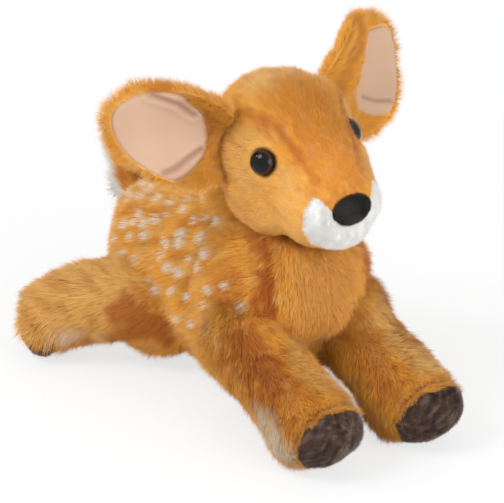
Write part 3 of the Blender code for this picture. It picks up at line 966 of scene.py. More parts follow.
@dataclass(frozen=True)
class Pile:
    """A pile of strands: how many, how long, thick and upright they are, and how they bunch."""

    per_mm2: float
    length: float
    radius: float
    lean: float
    mess: float
    bunch: float
    bunch_size: float = 0.0045
    uneven: float = 0.18
    sink: float = 0.0006
    light: tuple = (0.0, 0.0, 0.25)
    lowest_rise: float = 0.12
    lean_size: float = 0.016
    cell_size: float = 0.02
    floor_gap: float = 0.0003

    def roots(self, mesh: Mesh, seed: int) -> Roots:
        return scatter(mesh, self.per_mm2 * (1.0), seed)

    def tips(
        self, roots: Roots, comb: Array, reach: Array, draw: np.random.Generator, seed: int
    ) -> Array:
        """Combs, bunches and lengthens strands.

        Args:
            roots: Where the strands grow.
            comb: Which way each is combed.
            reach: Each strand's length as a share of the pile's.
            draw: The drawer of random numbers.
            seed: The seed of the ripples.

        Returns:
            The place of each strand's tip.
        """
        start, normals, count = roots.points, roots.normals, len(roots.points)
        flow = along_surface(comb + self.mess * 0.5 * draw.normal(size=(count, 3)), normals)
        lean = self.lean * (1.0 + 0.22 * ripple(start, self.lean_size, seed + 1))
        stray = self.mess * 0.45 * draw.normal(size=(count, 3))
        way = unit(normals + flow * lean[:, None] + stray)
        rise = np.sum(way * normals, axis=1)
        way += np.maximum(self.lowest_rise - rise, 0.0)[:, None] * normals
        spread = (1.0 + self.uneven * draw.normal(size=count)).clip(0.45, 1.5)
        tips = start + unit(way) * (self.length * reach * spread)[:, None]
        shift = 0.35 * ripple(start, self.cell_size, seed + 2)[:, None]
        cells = np.floor(start / self.bunch_size + shift)
        member = np.unique(cells, axis=0, return_inverse=True)[1].reshape(-1)
        held = np.bincount(member)
        centres = np.stack([np.bincount(member, tips[:, i]) / held for i in range(3)], axis=1)
        return tips + (centres[member] - tips) * (self.bunch * draw.random(count))[:, None]

    def strands(
        self,
        name: str,
        coat: Coat,
        roots: Roots,
        comb: Array,
        reach: Array,
        marks: tuple[Mark, ...],
        seed: int,
    ) -> list[Object]:
        """Makes the strands as closed meshes of at most STRANDS_PER_PIECE strands each.

        Args:
            name: The pieces' name, before their number.
            coat: The fabric.
            roots: Where the strands grow.
            comb: Which way each is combed.
            reach: Each strand's length as a share of the pile's.
            marks: The marks on the coat.
            seed: The seed of the draw.

        Returns:
            The pieces.
        """
        draw, normals, count = np.random.default_rng(seed), roots.normals, len(roots.points)
        tips = self.tips(roots, comb, reach, draw, seed)
        run = tips - roots.points
        slid = run - normals * np.sum(run * normals, axis=1, keepdims=True)
        shades = shades_at(roots.points + 0.7 * slid, marks)
        way = unit(run)
        across = unit(np.cross(way, normals + 1e-4))
        third = np.cross(way, across)
        spin = draw.uniform(0.0, 2.0 * math.pi, count)
        thick = self.radius * (0.75 + 0.5 * draw.random(count)) * np.sqrt(reach.clip(0.2, 1.0))
        corners, lit = [], []
        for i in range(STRAND_POINTS - 1):
            turn = spin + 2.0 * math.pi * i / (STRAND_POINTS - 1.0)
            radial = across * np.cos(turn)[:, None] + third * np.sin(turn)[:, None]
            corners.append(roots.points - normals * self.sink + radial * thick[:, None])
            lit.append(unit(0.8 * normals + 0.35 * radial + self.light))
        points = np.stack([*corners, tips], axis=1)
        lit = np.stack([*lit, unit(0.9 * normals + 0.2 * way + self.light)], axis=1)
        lowest = self.floor_gap * np.array(STRAND_FLOOR)
        points[:, :, 2] = np.maximum(points[:, :, 2], lowest)
        tone = draw.random(count)
        order = np.argsort(roots.points[:, 0], kind="stable")
        pieces = []
        chunks = max(1, math.ceil(count / STRANDS_PER_PIECE))
        for number, rows in enumerate(np.array_split(order, chunks), start=1):
            values = {key: np.repeat(row[rows], STRAND_POINTS) for key, row in shades.items()}
            values["tone"] = np.repeat(tone[rows], STRAND_POINTS)
            values["height"] = np.tile((0.0, 0.0, 0.0, 1.0), len(rows))
            piece = strand_piece(f"{name}_{number}", points[rows], lit[rows], values)
            piece.data.materials.append(coat.material())
            pieces.append(piece)
        LOG.info("%s: %d strands in %d pieces", name, count, len(pieces))
        return pieces


def strand_piece(name: str, points: Array, lit: Array, marks: dict[str, Array]) -> Object:
    """Makes one mesh of closed strands, each with three points at its root and one at its tip.

    Args:
        name: The piece's name.
        points: The four points of each strand.
        lit: The direction in which each point is lit.
        marks: A number for each point, by name.

    Returns:
        The object.
    """
    count = len(points)
    first = np.arange(count)
    corners = (first[:, None, None] * STRAND_POINTS + np.array(STRAND_SIDES)[None]).reshape(-1)
    mesh = bpy.data.meshes.new(name)
    mesh.vertices.add(count * STRAND_POINTS)
    mesh.vertices.foreach_set("co", points.astype(np.float32).ravel())
    mesh.loops.add(len(corners))
    mesh.loops.foreach_set("vertex_index", corners.astype(np.int32))
    mesh.polygons.add(count * len(STRAND_SIDES))
    mesh.polygons.foreach_set("loop_start", np.arange(0, len(corners), 3, dtype=np.int32))
    mesh.polygons.foreach_set("use_smooth", np.ones(count * len(STRAND_SIDES), dtype=bool))
    mesh.update(calc_edges=True)
    keep_marks(mesh, marks)
    across = math.ceil(math.sqrt(count))
    cell = np.stack([first % across, first // across], axis=1) / across
    grid = (cell[:, None, :] + (np.array(STRAND_UV) / across)[None]).reshape(-1, 2)
    layer = mesh.uv_layers.new(name="OFBake")
    layer.data.foreach_set("uv", grid[corners].astype(np.float32).ravel())
    mesh.normals_split_custom_set_from_vertices(lit.reshape(-1, 3).astype(np.float32))
    return into_scene(name, mesh)


@dataclass(frozen=True)
class Role:
    """What a piece does in the fawn: the body it moves with and a material slot's name."""

    body: str
    slot: str

    def give(self, *pieces: Object) -> None:
        """Attaches pieces to the role's body, and reports them."""
        for piece in pieces:
            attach(piece, self.body)
            LOG.info("%s: %d points", piece.name, len(piece.data.vertices))

    def give_form(
        self, piece: Object, coat: Coat, marks: tuple[Mark, ...], fill: float, nodes: tuple
    ) -> None:
        """Attaches a stuffed form to the role's body, coloured as the ground of its pile, with the
        painted shade of the pile's depth.

        Args:
            piece: The form.
            coat: The fabric.
            marks: The marks on it.
            fill: How tightly it is stuffed, from 0 to 1; not used.
            nodes: The parts that it stands for.
        """
        mesh = piece.data
        values = shades_at(points_of(mesh), marks)
        values["tone"] = np.full(len(mesh.vertices), GROUND_TONE)
        # Painted shade: the form is as dark as the pile low down
        values["height"] = np.full(len(mesh.vertices), GROUND_HEIGHT)
        keep_marks(mesh, values)
        mesh.materials.clear()
        mesh.materials.append(coat.material())
        self.give(piece)
        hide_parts(*nodes)


@dataclass
class Body:
    """The torso: withers, chest, haunches and belly, with spotted flanks."""

    pile: Pile = Pile(1.56, 0.0108, 0.00024, 1.25, 0.34, 0.34)
    role: Role = Role("body", "tawny_plush")
    stuffing: Stuffing = Stuffing(
        "body_plush",
        ("torso_skin",),
        0.003,
        9,
        (
            Mass((-80, 36, 46), (42, 26, 36), 8.0, -14.0, True),
            Mass((22, 33, 84), (36, 19, 42), 20.0, 0.0, True),
            Mass((50, 0, 86), (31, 39, 44)),
            Mass((4, 0, 150), (42, 37, 36), 30.0),
        ),
        (
            Dent(((0, -37, 140), (-2, -44, 120), (-8, -49, 100), (-15, -50, 82)), 5.0, 3.6, True),
            Dent(((60, -32, 140), (66, -40, 118), (68, -40, 96), (66, -36, 76)), 5.0, 2.6, True),
            Dent(((-104, -50, 92), (-106, -58, 66), (-100, -60, 44)), 5.0, 2.4, True),
            Dent(((20, -47, 66), (44, -50, 62), (66, -40, 60)), 5.0, 2.4, True),
            Dent(((44, -46, 148), (52, -48, 128)), 14.0, 7.0, True),
            Dent(((76, 0, 46),), 24.0, 15.0),
        ),
        True,
    )
    fill: float = 0.6
    in_head: float = 0.010
    in_limbs: float = 0.008
    spots_per_mm2: float = 0.05
    spot_gap_mm: float = 13.0
    form: Object | None = None

    def build(self) -> None:
        """Makes the stuffed form."""
        self.form = self.stuffing.build()

    def back_spots(self) -> tuple[Mark, ...]:
        """More spots over the back and rump, kept clear of those on the flanks.

        Returns:
            The spots.
        """
        roots = scatter(self.form.data, self.spots_per_mm2, 41)
        taken = [np.array(spot, float) for spot in FLANK_SPOTS_MM]
        marks = []
        draw = np.random.default_rng(42)
        for point, normal in zip(roots.points / MM, roots.normals):
            x, y, z = point
            upper = normal[2] > 0.25 and -146 < x < -2 and y < -5 and z > 62
            behind = normal[0] < -0.35 and z > 60 and y < -6
            if not (upper or behind):
                continue
            if min(np.linalg.norm(point - other) for other in taken) < self.spot_gap_mm:
                continue
            taken.append(point)
            marks.append(spot_mark(tuple(point), float(draw.uniform(2.9, 4.3))))
        return tuple(marks)

    def dress(self, head: BVHTree, limbs: list[BVHTree]) -> None:
        """Adds the pile and colours, without strands that would be hidden inside other forms.

        Args:
            head: The head's search tree.
            limbs: The legs' search trees.
        """
        marks = BODY_MARKS + tuple(flank_spots()) + self.back_spots()
        roots = self.pile.roots(self.form.data, 11).clear_of(head, self.in_head)
        for limb in limbs:
            roots = roots.clear_of(limb, self.in_limbs)
        x, y, z = (roots.points / MM).T
        ones, side = np.ones(len(x)), np.sign(y)
        comb = np.stack([-ones, 0.1 * side, -0.35 - 0.5 * (np.abs(y) > 30)], axis=1)
        chest = ease((x - 45.0) / 25.0)[:, None]
        comb = comb * (1.0 - chest) + chest * np.stack([0.0 * x, 0.25 * side, -ones], axis=1)
        reach = 0.92 + 0.12 * ripple(roots.points, 0.03, 3) - 0.18 * chest[:, 0]
        reach *= 1.0 - 0.6 * ease((14.0 - z) / 14.0)
        pieces = self.pile.strands("body_pile", TAWNY, roots, comb, reach, marks, 12)
        self.role.give(*pieces)
        nodes = ("torso_skin", "torso_filling", "pellet_pouch")
        self.role.give_form(self.form, TAWNY, marks, self.fill, nodes)


def head_lines(points: Array) -> tuple[Array, Array]:
    """How far places lie along the head's line and above it, in millimetres."""
    from_start = points / MM - np.array(HEAD_START_MM)
    return from_start @ np.array(HEAD_AHEAD), from_start @ np.array(HEAD_ABOVE)


def white_share(points: Array) -> Array:
    """How surely places belong to the white patch round the nose.

    Args:
        points: The places in metres, one a row.

    Returns:
        A share for each place, above 0.5 inside the patch.
    """
    along, rise = head_lines(points)
    blaze = 1.2 * np.maximum(24.0 - np.abs(points[:, 1]) / MM, 0.0) * (rise > 7.0)
    edge = 117.5 + 0.34 * (13.0 - rise) + blaze
    return np.minimum(along - edge, 14.5 - rise) / 2.0 + 0.5


@dataclass(frozen=True)
class Eye:
    """One domed eye with its stem."""

    name: str
    place_mm: tuple
    out: tuple
    role: Role = Role("head", "eye_gloss")
    radius_mm: float = 9.0
    height_mm: float = 6.4
    back_mm: float = 1.2
    stem_inset_mm: float = 6.2
    stem_mm: float = 7.0
    sunk_mm: float = 2.6

    def build(self) -> None:
        """Makes the dome, flat behind, with its stem, and gives its washer a finish."""
        work = bmesh.new()
        dome = Matrix.Diagonal((self.radius_mm, self.radius_mm, self.height_mm, 1.0))
        bmesh.ops.create_uvsphere(work, u_segments=48, v_segments=28, radius=1.0, matrix=dome)
        everything = work.verts[:] + work.edges[:] + work.faces[:]
        back = {"plane_co": (0, 0, -self.back_mm), "plane_no": (0, 0, -1), "clear_outer": True}
        bmesh.ops.bisect_plane(work, geom=everything, **back)
        rim = [edge for edge in work.edges if edge.is_boundary]
        cap = bmesh.ops.holes_fill(work, edges=rim)["faces"]
        bmesh.ops.inset_region(work, faces=cap, thickness=self.stem_inset_mm)
        pushed = bmesh.ops.extrude_discrete_faces(work, faces=cap)
        ends = [point for face in pushed["faces"] for point in face.verts]
        bmesh.ops.translate(work, verts=ends, vec=(0, 0, -self.stem_mm))
        bmesh.ops.recalc_face_normals(work, faces=work.faces)
        far = [math.hypot(point.co.x, point.co.y) / self.radius_mm for point in work.verts]
        out = Vector(self.out)
        turn = Vector((0, 0, 1)).rotation_difference(out).to_matrix().to_4x4()
        place = Matrix.Translation(Vector(self.place_mm) - out * self.sunk_mm)
        bmesh.ops.transform(work, matrix=Matrix.Scale(MM, 4) @ place @ turn, verts=work.verts)
        piece = mesh_object(f"eye_dome_{self.name}", work)
        piece.data.shade_smooth()
        keep_marks(piece.data, {"ring": np.minimum(1.0, far)})
        piece.data.materials.append(EyeGloss().material())
        self.role.give(piece)
        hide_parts(f"eye_{self.name}")
        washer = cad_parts[f"eye_washer_{self.name}"].data
        washer.materials.clear()
        washer.materials.append(Plastic().material())


@dataclass
class Head:
    """The head: skull, cheeks, brow and muzzle, with its eyes and nose."""

    pile: Pile = Pile(2.4, 0.0088, 0.000195, 1.55, 0.24, 0.24, 0.0038)
    muzzle_pile: Pile = Pile(5.0, 0.0040, 0.00017, 1.30, 0.28, 0.12, 0.003)
    nose_pile: Pile = Pile(8.0, 0.0015, 0.00014, 0.9, 0.35, 0.15, 0.002, sink=0.0003)
    skin: Role = Role("head", "tawny_plush")
    muzzle: Role = Role("head", "white_plush")
    nose: Role = Role("head", "black_nose_plush")
    stuffing: Stuffing = Stuffing(
        "head_plush",
        ("head_skin", "head_filling", "muzzle_skin"),
        0.002,
        7,
        (
            Mass((41, 27, 173), (36, 20, 28), 21.0, 0.0, True),
            Mass((35, 20, 218), (25, 19, 17), 21.0, 0.0, True),
            Mass((90, 0, 157), (16, 23, 15)),
        ),
        (
            *(Dent((place,), 11.0, 3.4) for place, _ in EYES.values()),
            Dent(((68, -39, 198), (84, -32, 188)), 6.0, 1.4, True),
            Dent(((44, -38, 222), (62, -32, 215), (78, -27, 202), (90, -24, 190)), 4.5, 1.3, True),
            Dent(EAR_CREASE_PATH, 6.0, 2.5, True),
        ),
    )
    fill: float = 0.8
    in_body: float = 0.012
    from_eye_mm: float = 8.0
    patch_cloth: float = 0.001
    patch_proud: float = 0.0002
    nose_shift: tuple = (-0.0024, 0.0, -0.0022)
    form: Object | None = None

    def build(self) -> None:
        """Makes the stuffed form."""
        self.form = self.stuffing.build()

    def from_eyes(self, points: Array) -> Array:
        """How far places are from the nearer eye's middle, in millimetres."""
        places = points / MM
        apart = [np.linalg.norm(places - np.array(eye), axis=1) for eye, _ in EYES.values()]
        return np.minimum(*apart)

    def length_share(self, points: Array) -> Array:
        """How long the pile is: short on the muzzle, forehead and eyelids, long behind.

        Args:
            points: The strands' places, one a row.

        Returns:
            A share of the pile's length for each.
        """
        along, rise = head_lines(points)
        share = 0.3 + 0.58 * ease((118.0 - along) / 60.0)
        share += 0.18 * ease((50.0 - along) / 40.0)
        share -= 0.16 * ease((rise - 16.0) / 14.0) * ease((along - 40.0) / 30.0)
        return share * (0.25 + 0.75 * ease((self.from_eyes(points) - 8.5) / 10.0))

    def dress(self, body: BVHTree) -> None:
        """Adds the pile, eyes, nose and colours.

        Args:
            body: The body's search tree.
        """
        marks = HEAD_MARKS + eye_marks()
        middle = np.array(NOSE_MM) * MM
        roots = self.pile.roots(self.form.data, 21).clear_of(body, self.in_body)
        tawny = white_share(roots.points) < 0.5
        roots = roots.only(tawny & (self.from_eyes(roots.points) > self.from_eye_mm))
        comb = unit(roots.points - middle) + np.array((0.0, 0.0, -0.22))
        reach = self.length_share(roots.points)
        self.skin.give(*self.pile.strands("head_pile", TAWNY, roots, comb, reach, marks, 22))

        nose_tree = self.build_nose()
        roots = self.muzzle_pile.roots(self.form.data, 23)
        roots = roots.only(white_share(roots.points) >= 0.5).clear_of(nose_tree, 0.0005)
        comb = unit(roots.points - middle)
        reach = 0.8 + 0.15 * ripple(roots.points, 0.012, 4)
        pieces = self.muzzle_pile.strands("muzzle_pile", WHITE, roots, comb, reach, (), 24)
        self.muzzle.give(*pieces)
        self.build_muzzle()
        for name, (place, out) in EYES.items():
            Eye(name, place, out).build()
        nodes = ("head_skin", "head_filling")
        self.skin.give_form(self.form, TAWNY, marks, self.fill, nodes)

    def build_muzzle(self) -> None:
        """Makes the ground of the white patch, a thin shell just proud of the head's form."""
        work = bmesh.new()
        work.from_mesh(self.form.data)
        middles = np.array([face.calc_center_median() for face in work.faces])
        faces = zip(work.faces[:], white_share(middles))
        stray = [face for face, share in faces if share < 0.45]
        bmesh.ops.delete(work, geom=stray, context="FACES")
        keep_largest(work)
        relax(work, [point for point in work.verts if point.is_boundary], 3)
        bmesh.ops.solidify(work, geom=work.faces[:], thickness=self.patch_cloth)
        bmesh.ops.recalc_face_normals(work, faces=work.faces)
        piece = mesh_object("muzzle_plush", work)
        mesh = piece.data
        place_points(mesh, points_of(mesh) + normals_of(mesh) * self.patch_proud)
        mesh.shade_smooth()
        self.muzzle.give_form(piece, WHITE, (), 0.7, ("muzzle_skin",))

    def build_nose(self) -> BVHTree:
        """Makes the nose pad with its short black pile.

        Returns:
            The pad's search tree.
        """
        piece = Stuffing("nose_plush", ("nose",), 0.0009, 5).build()
        points = points_of(piece.data)
        _, rise = head_lines(points)
        points[:, 1] *= 1.07 + 0.1 * np.clip((rise - 4.0) / 12.0, -1.0, 1.0)
        points += self.nose_shift
        place_points(piece.data, points)
        press(piece.data, (Dent(((113, -9.5, 167), (111, -12, 164)), 2.6, 1.2, True),))
        roots = self.nose_pile.roots(piece.data, 25)
        centre = np.array(NOSE_MM) * MM + (0.01, 0.0, 0.02)
        comb = unit(centre - roots.points) + np.array((0.0, 0.0, -0.6))
        reach = np.ones(len(roots.points))
        pieces = self.nose_pile.strands("nose_pile", BLACK, roots, comb, reach, NOSE_SHEEN_MARKS, 26)
        self.nose.give(*pieces)
        self.nose.give_form(piece, BLACK, NOSE_SHEEN_MARKS, 0.9, ("nose",))
        return tree_of(piece.data)


@dataclass
class Ear:
    """One ear: a cupped plush leaf with a satin lining in front."""

    name: str
    root_mm: tuple
    reach: tuple
    facing: tuple
    edge: tuple
    middle: tuple
    outline: tuple
    creases: tuple
    turn: float = 0.0
    pile: Pile = Pile(2.7, 0.0084, 0.000175, 0.95, 0.30, 0.25, light=(0.50, -0.20, 0.30))
    fill: float = 0.3
    in_head: float = 0.006
    above_mm: float = 60.0
    cloth: float = 0.0006
    lift_mm: float = 1.7
    least_lift_mm: float = 0.35
    hem_mm: float = 0.5
    hem_start: float = 0.92
    form: Object | None = None

    def spin(self) -> Array:
        """The small turn that the ear hangs at, about the line to the camera."""
        return np.array(Matrix.Rotation(math.radians(self.turn), 3, Vector(TO_CAMERA)))

    def axes(self) -> Array:
        """The ear's own lines: along it, across it and out of its face."""
        return unit(np.array((self.reach, self.edge, self.facing))) @ self.spin().T

    def local(self, points: Array) -> Array:
        """Places in the ear's own lines, in millimetres."""
        return (points / MM - np.array(self.root_mm)) @ self.axes().T

    def world(self, places: Array) -> Array:
        """The other way round, from the ear's own lines to metres."""
        return (places @ np.linalg.inv(self.axes()).T + np.array(self.root_mm)) * MM

    def build(self) -> None:
        """Makes the stuffed leaf."""
        back = f"ear_back_{self.name}"
        self.form = Stuffing(f"ear_plush_{self.name}", (back,), 0.0014, 6).build()
        root = np.array(self.root_mm) * MM
        turned = (points_of(self.form.data) - root) @ self.spin().T + root
        place_points(self.form.data, turned)

    def lining_reach(self, angles: Array) -> Array:
        """How far the lining runs from its middle, kept within the leaf.

        Args:
            angles: The angles round the middle that are asked for.

        Returns:
            A distance in millimetres for each angle.
        """
        from_middle = np.array(self.outline, float) - np.array(self.middle)
        turns = np.arctan2(from_middle[:, 1], from_middle[:, 0])
        far = np.linalg.norm(from_middle, axis=1) - 0.6
        centres = np.linspace(-math.pi, math.pi, 90, endpoint=False)
        reach = np.interp(centres, turns, far, period=2.0 * math.pi)
        tree, towards = tree_of(self.form.data), Vector(-self.axes()[2])
        for index, way in enumerate(np.column_stack([np.cos(centres), np.sin(centres)])):
            while reach[index] > 5.0:
                spot = (*(np.array(self.middle) + way * (reach[index] + 1.0)), self.above_mm)
                if tree.ray_cast(Vector(self.world(np.array([spot]))[0]), towards)[0]:
                    break
                reach[index] -= 0.5
        for _ in range(2):
            reach = (np.roll(reach, 1) + 2.0 * reach + np.roll(reach, -1)) / 4.0
        return np.interp(angles, centres, reach, period=2.0 * math.pi)

    def under_lining(self, roots: Roots) -> Array:
        """Where roots are hidden behind the lining."""
        flat = self.local(roots.points)[:, :2] - np.array(self.middle)
        reach = self.lining_reach(np.arctan2(flat[:, 1], flat[:, 0]))
        return (np.linalg.norm(flat, axis=1) < reach - 0.4) & (roots.normals @ self.axes()[2] > 0.0)

    def crease_distances(self, places: Array) -> list:
        """How far places in the ear's lines are from each crease, with its radius and depth.

        Args:
            places: The places, one a row.

        Returns:
            Distances, a radius and a depth for each crease.
        """
        level = places * (1.0, 1.0, 0.0)
        found = []
        for path, radius, depth in self.creases:
            line = np.column_stack([np.array(path, float), np.zeros(len(path))])
            found.append((distance_to_path(level, line), radius, depth))
        return found

    def lay_lining(self, work: BMesh) -> Array:
        """Lays a square grid on the leaf, inside the lining's outline.

        Args:
            work: The bmesh that the grid is made in.

        Returns:
            How far out each point of the grid is, from 0 in the middle to 1 at the hem.
        """
        bmesh.ops.create_grid(work, x_segments=44, y_segments=44, size=1.0)
        square = np.array([point.co[:2] for point in work.verts])
        disc = square * np.sqrt(1.0 - 0.5 * square[:, ::-1] ** 2)
        far = np.linalg.norm(disc, axis=1)
        reach = self.lining_reach(np.arctan2(disc[:, 1], disc[:, 0]))
        flat = disc / np.maximum(far, 1e-9)[:, None] * (far * reach)[:, None]
        above = np.full(len(flat), self.above_mm)
        starts = self.world(np.column_stack([flat + np.array(self.middle), above]))
        tree, towards = tree_of(self.form.data), Vector(-self.axes()[2])
        for point, start in zip(work.verts, starts):
            hit = tree.ray_cast(Vector(start), towards)[0]
            point.co = hit if hit else tree.find_nearest(Vector(start))[0]
        relax(work, [point for point in work.verts if not point.is_boundary], 6)
        return far

    def build_lining(self) -> None:
        """Makes the satin lining with its folds."""
        work = bmesh.new()
        far = self.lay_lining(work)
        places = self.local(np.array([point.co[:] for point in work.verts]))
        lift = np.full(len(far), self.lift_mm)
        for apart, radius, depth in self.crease_distances(places):
            lift -= depth * np.exp(-((apart / radius) ** 2))
            lift += 0.7 * depth * np.exp(-(((apart - 2.2 * radius) / (1.2 * radius)) ** 2))
        lift = np.maximum(lift + 0.35 * ripple(places, 24.0, 9), self.least_lift_mm)
        hem = ease((far - self.hem_start) / 0.08)
        places[:, 2] += lift * (1.0 - hem) - self.hem_mm * hem
        for point, place in zip(work.verts, self.world(places)):
            point.co = place
        bmesh.ops.solidify(work, geom=work.faces[:], thickness=self.cloth)
        bmesh.ops.recalc_face_normals(work, faces=work.faces)
        piece = mesh_object(f"ear_satin_{self.name}", work)
        piece.data.shade_smooth()
        # Painted shade along the lining's creases, kept as the deep mark
        near = [
            np.exp(-((apart / (1.15 * radius)) ** 2))
            for apart, radius, _ in self.crease_distances(self.local(points_of(piece.data)))
        ]
        keep_marks(piece.data, {DEEP.value: 0.8 * np.max(near, axis=0)})
        piece.data.materials.append(Satin().material())
        Role(f"ear_{self.name}", "satin_lining").give(piece)
        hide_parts(f"ear_lining_{self.name}")

    def dress(self, head: BVHTree) -> None:
        """Adds the lining, the pile on the back and round the rim, and the colours.

        Args:
            head: The head's search tree.
        """
        self.build_lining()
        along, across, out = self.axes()
        roots = self.pile.roots(self.form.data, 31).clear_of(head, self.in_head)
        roots = roots.only(~self.under_lining(roots))
        places = self.local(roots.points)
        comb = 0.8 * along + across * (places[:, 1] / 24.0)[:, None]
        front = roots.normals @ out > 0.15
        reach = np.where(front, 0.85, 1.0) * (0.95 + 0.08 * ripple(roots.points, 0.02, 6))
        tip = tuple(self.world(np.array([(92.0, 0.0, 0.0)]))[0] / MM)
        inner = self.world(np.array([(62.0, 25.0, 4.0), (42.0, 18.0, 3.0), (20.0, 10.0, 0.0)]))
        # Painted shade at the ear's root, along its inner side and in the crease at the cheek
        marks = (
            Mark(DEEP, 11.0, 0.6, (self.root_mm,), 0.9, False),
            Mark(DEEP, 9.0, 0.45, tuple(map(tuple, inner / MM)), 1.2, False),
            Mark(DEEP, 6.0, 0.75, EAR_CREASE_PATH, 1.0),
            Mark(PALE, 14.0, 0.35, tip, 1.0, False),
            Streaks(PALE, 0.45, self.reach, 12.0, 11),
        )
        role = Role(f"ear_{self.name}", "tawny_plush")
        name = f"ear_pile_{self.name}"
        role.give(*self.pile.strands(name, TAWNY, roots, comb, reach, marks, 32))
        role.give_form(self.form, TAWNY, marks, self.fill, (f"ear_back_{self.name}",))


@dataclass
class Leg:
    """One leg with its hoof."""

    name: str
    ahead: tuple
    seam_mm: tuple
    facing: tuple
    ridge: tuple
    cover: float
    masses: tuple = ()
    pile: Pile = Pile(1.72, 0.0108, 0.00024, 1.30, 0.34, 0.34)
    hoof_pile: Pile = Pile(3.8, 0.0030, 0.0002, 1.0, 0.35, 0.30, 0.003)
    fill: float = 0.7
    in_body: float = 0.007
    at_hoof: float = 0.0022
    hoof_shrink: float = 0.06
    form: Object | None = None

    def called(self, what: str) -> str:
        """The leg's name with another word for leg."""
        return self.name.replace("leg", what)

    def out(self) -> Array:
        """The line that the hoof looks along."""
        return unit(np.array([self.facing]))[0]

    def build(self) -> None:
        """Makes the stuffed leg."""
        parts = (f"{self.name}_skin", f"{self.name}_filling")
        self.form = Stuffing(self.called("leg_plush"), parts, 0.0024, 8, self.masses).build()

    def past_seam(self, points: Array) -> Array:
        """How far places are past the hoof's seam, in millimetres."""
        return (points / MM - np.array(self.seam_mm)) @ np.array(self.facing)

    def ridge_path(self, tree: BVHTree) -> tuple:
        """Lays the hoof's middle ridge on the hoof.

        Args:
            tree: The hoof's search tree.

        Returns:
            The ridge's places in millimetres.
        """
        out = self.out()
        above = unit(np.array([(0.0, 0.0, 1.0) - out * out[2]]))[0]
        across = np.cross(above, out)
        path = []
        for wide, high in self.ridge:
            start = np.array(self.seam_mm) + across * wide + above * high + out * 80.0
            hit = tree.ray_cast(Vector(start * MM), Vector(-out))[0]
            path.append(tuple(np.array(hit) / MM) if hit else tuple(start - out * 55.0))
        return tuple(path)

    def build_hoof(self) -> tuple[Object, tuple, BVHTree]:
        """Makes the hoof's form.

        Returns:
            The form, its ridge and its search tree.
        """
        piece = Stuffing(self.called("hoof_plush"), (self.called("hoof"),), 0.0013, 4).build()
        points, out = points_of(piece.data), self.out()
        from_seam = points - np.array(self.seam_mm) * MM
        level = from_seam - (from_seam @ out)[:, None] * out
        place_points(piece.data, points - self.hoof_shrink * level)
        path = self.ridge_path(tree_of(piece.data))
        press(piece.data, (Dent(path, 7.0, -2.0), Dent(path, 1.8, 2.6)))
        return piece, path, tree_of(piece.data)

    def dress(self, body: BVHTree) -> None:
        """Adds the pile, the hoof and the colours.

        Args:
            body: The body's search tree.
        """
        hoof, path, hoof_tree = self.build_hoof()
        out = self.out()
        lap = Lap(CREAM, self.seam_mm, self.facing, self.cover)
        roots = self.pile.roots(self.form.data, 51).clear_of(body, self.in_body)
        near = np.array([hoof_tree.find_nearest(Vector(point))[3] for point in roots.points])
        roots = roots.only(~((near < self.at_hoof) & (roots.normals @ out > 0.6)))
        more = self.pile.roots(hoof.data, 55)
        more = more.only(lap.strength_at(more.points / MM) > 0.5)
        points = np.concatenate([roots.points, more.points])
        roots = Roots(points, np.concatenate([roots.normals, more.normals]))
        past = self.past_seam(roots.points)
        turned = ease((past + 22.0) / 18.0)[:, None]
        comb = np.array(self.ahead) + np.array((0.0, 0.0, -0.15))
        comb = comb * (1.0 - turned) + out * turned
        reach = 0.92 + 0.12 * ripple(roots.points, 0.03, 8)
        reach *= 1.0 - 0.36 * ease((past + 14.0) / 14.0) * (self.cover < 6.0)
        reach *= 1.0 - 0.5 * ease((10.0 - roots.points[:, 2] / MM) / 10.0)
        role, name = Role(self.name, "tawny_plush"), self.called("leg_pile")
        role.give(*self.pile.strands(name, TAWNY, roots, comb, reach, LEG_MARKS, 52))
        nodes = (f"{self.name}_skin", f"{self.name}_filling")
        role.give_form(self.form, TAWNY, LEG_MARKS, self.fill, nodes)
        self.dress_hoof(hoof, path, lap)

    def dress_hoof(self, hoof: Object, path: tuple, lap: Lap) -> None:
        """Adds the hoof's pile and colours.

        Args:
            hoof: The hoof's form.
            path: The hoof's ridge, in millimetres.
            lap: Where the leg's cloth laps over it.
        """
        roots = self.hoof_pile.roots(hoof.data, 53)
        roots = roots.only(lap.strength_at(roots.points / MM) < 0.5)
        line = np.array(path)
        run = unit(line[-1:] - line[:1])[0]
        aside = roots.points / MM - line.mean(axis=0)
        aside = aside - (aside @ run)[:, None] * run
        comb = unit(aside) * 0.9 + run * 0.5
        reach = 0.9 + 0.15 * ripple(roots.points, 0.01, 3)
        marks = (
            # Painted highlight along the hoof's middle ridge, and painted shade in a crease beside
            # it
            Mark(PALE, 3.0, 0.6, tuple(map(tuple, line + self.out())), 1.6, False, 0.5),
            Mark(DEEP, 2.2, 0.9, tuple(map(tuple, line + (0.0, 4.5, 0.0))), 1.2, False),
            Streaks(PALE, 0.36, tuple(run), 4.5, 9, 5.0),
            Streaks(DEEP, 0.65, tuple(run), 5.0, 10, 5.0),
            lap,
        )
        role, name = Role(self.name, "dark_hoof_plush"), self.called("hoof_pile")
        role.give(*self.hoof_pile.strands(name, HOOF, roots, comb, reach, marks, 54))
        role.give_form(hoof, HOOF, marks, 0.8, (self.called("hoof"),))


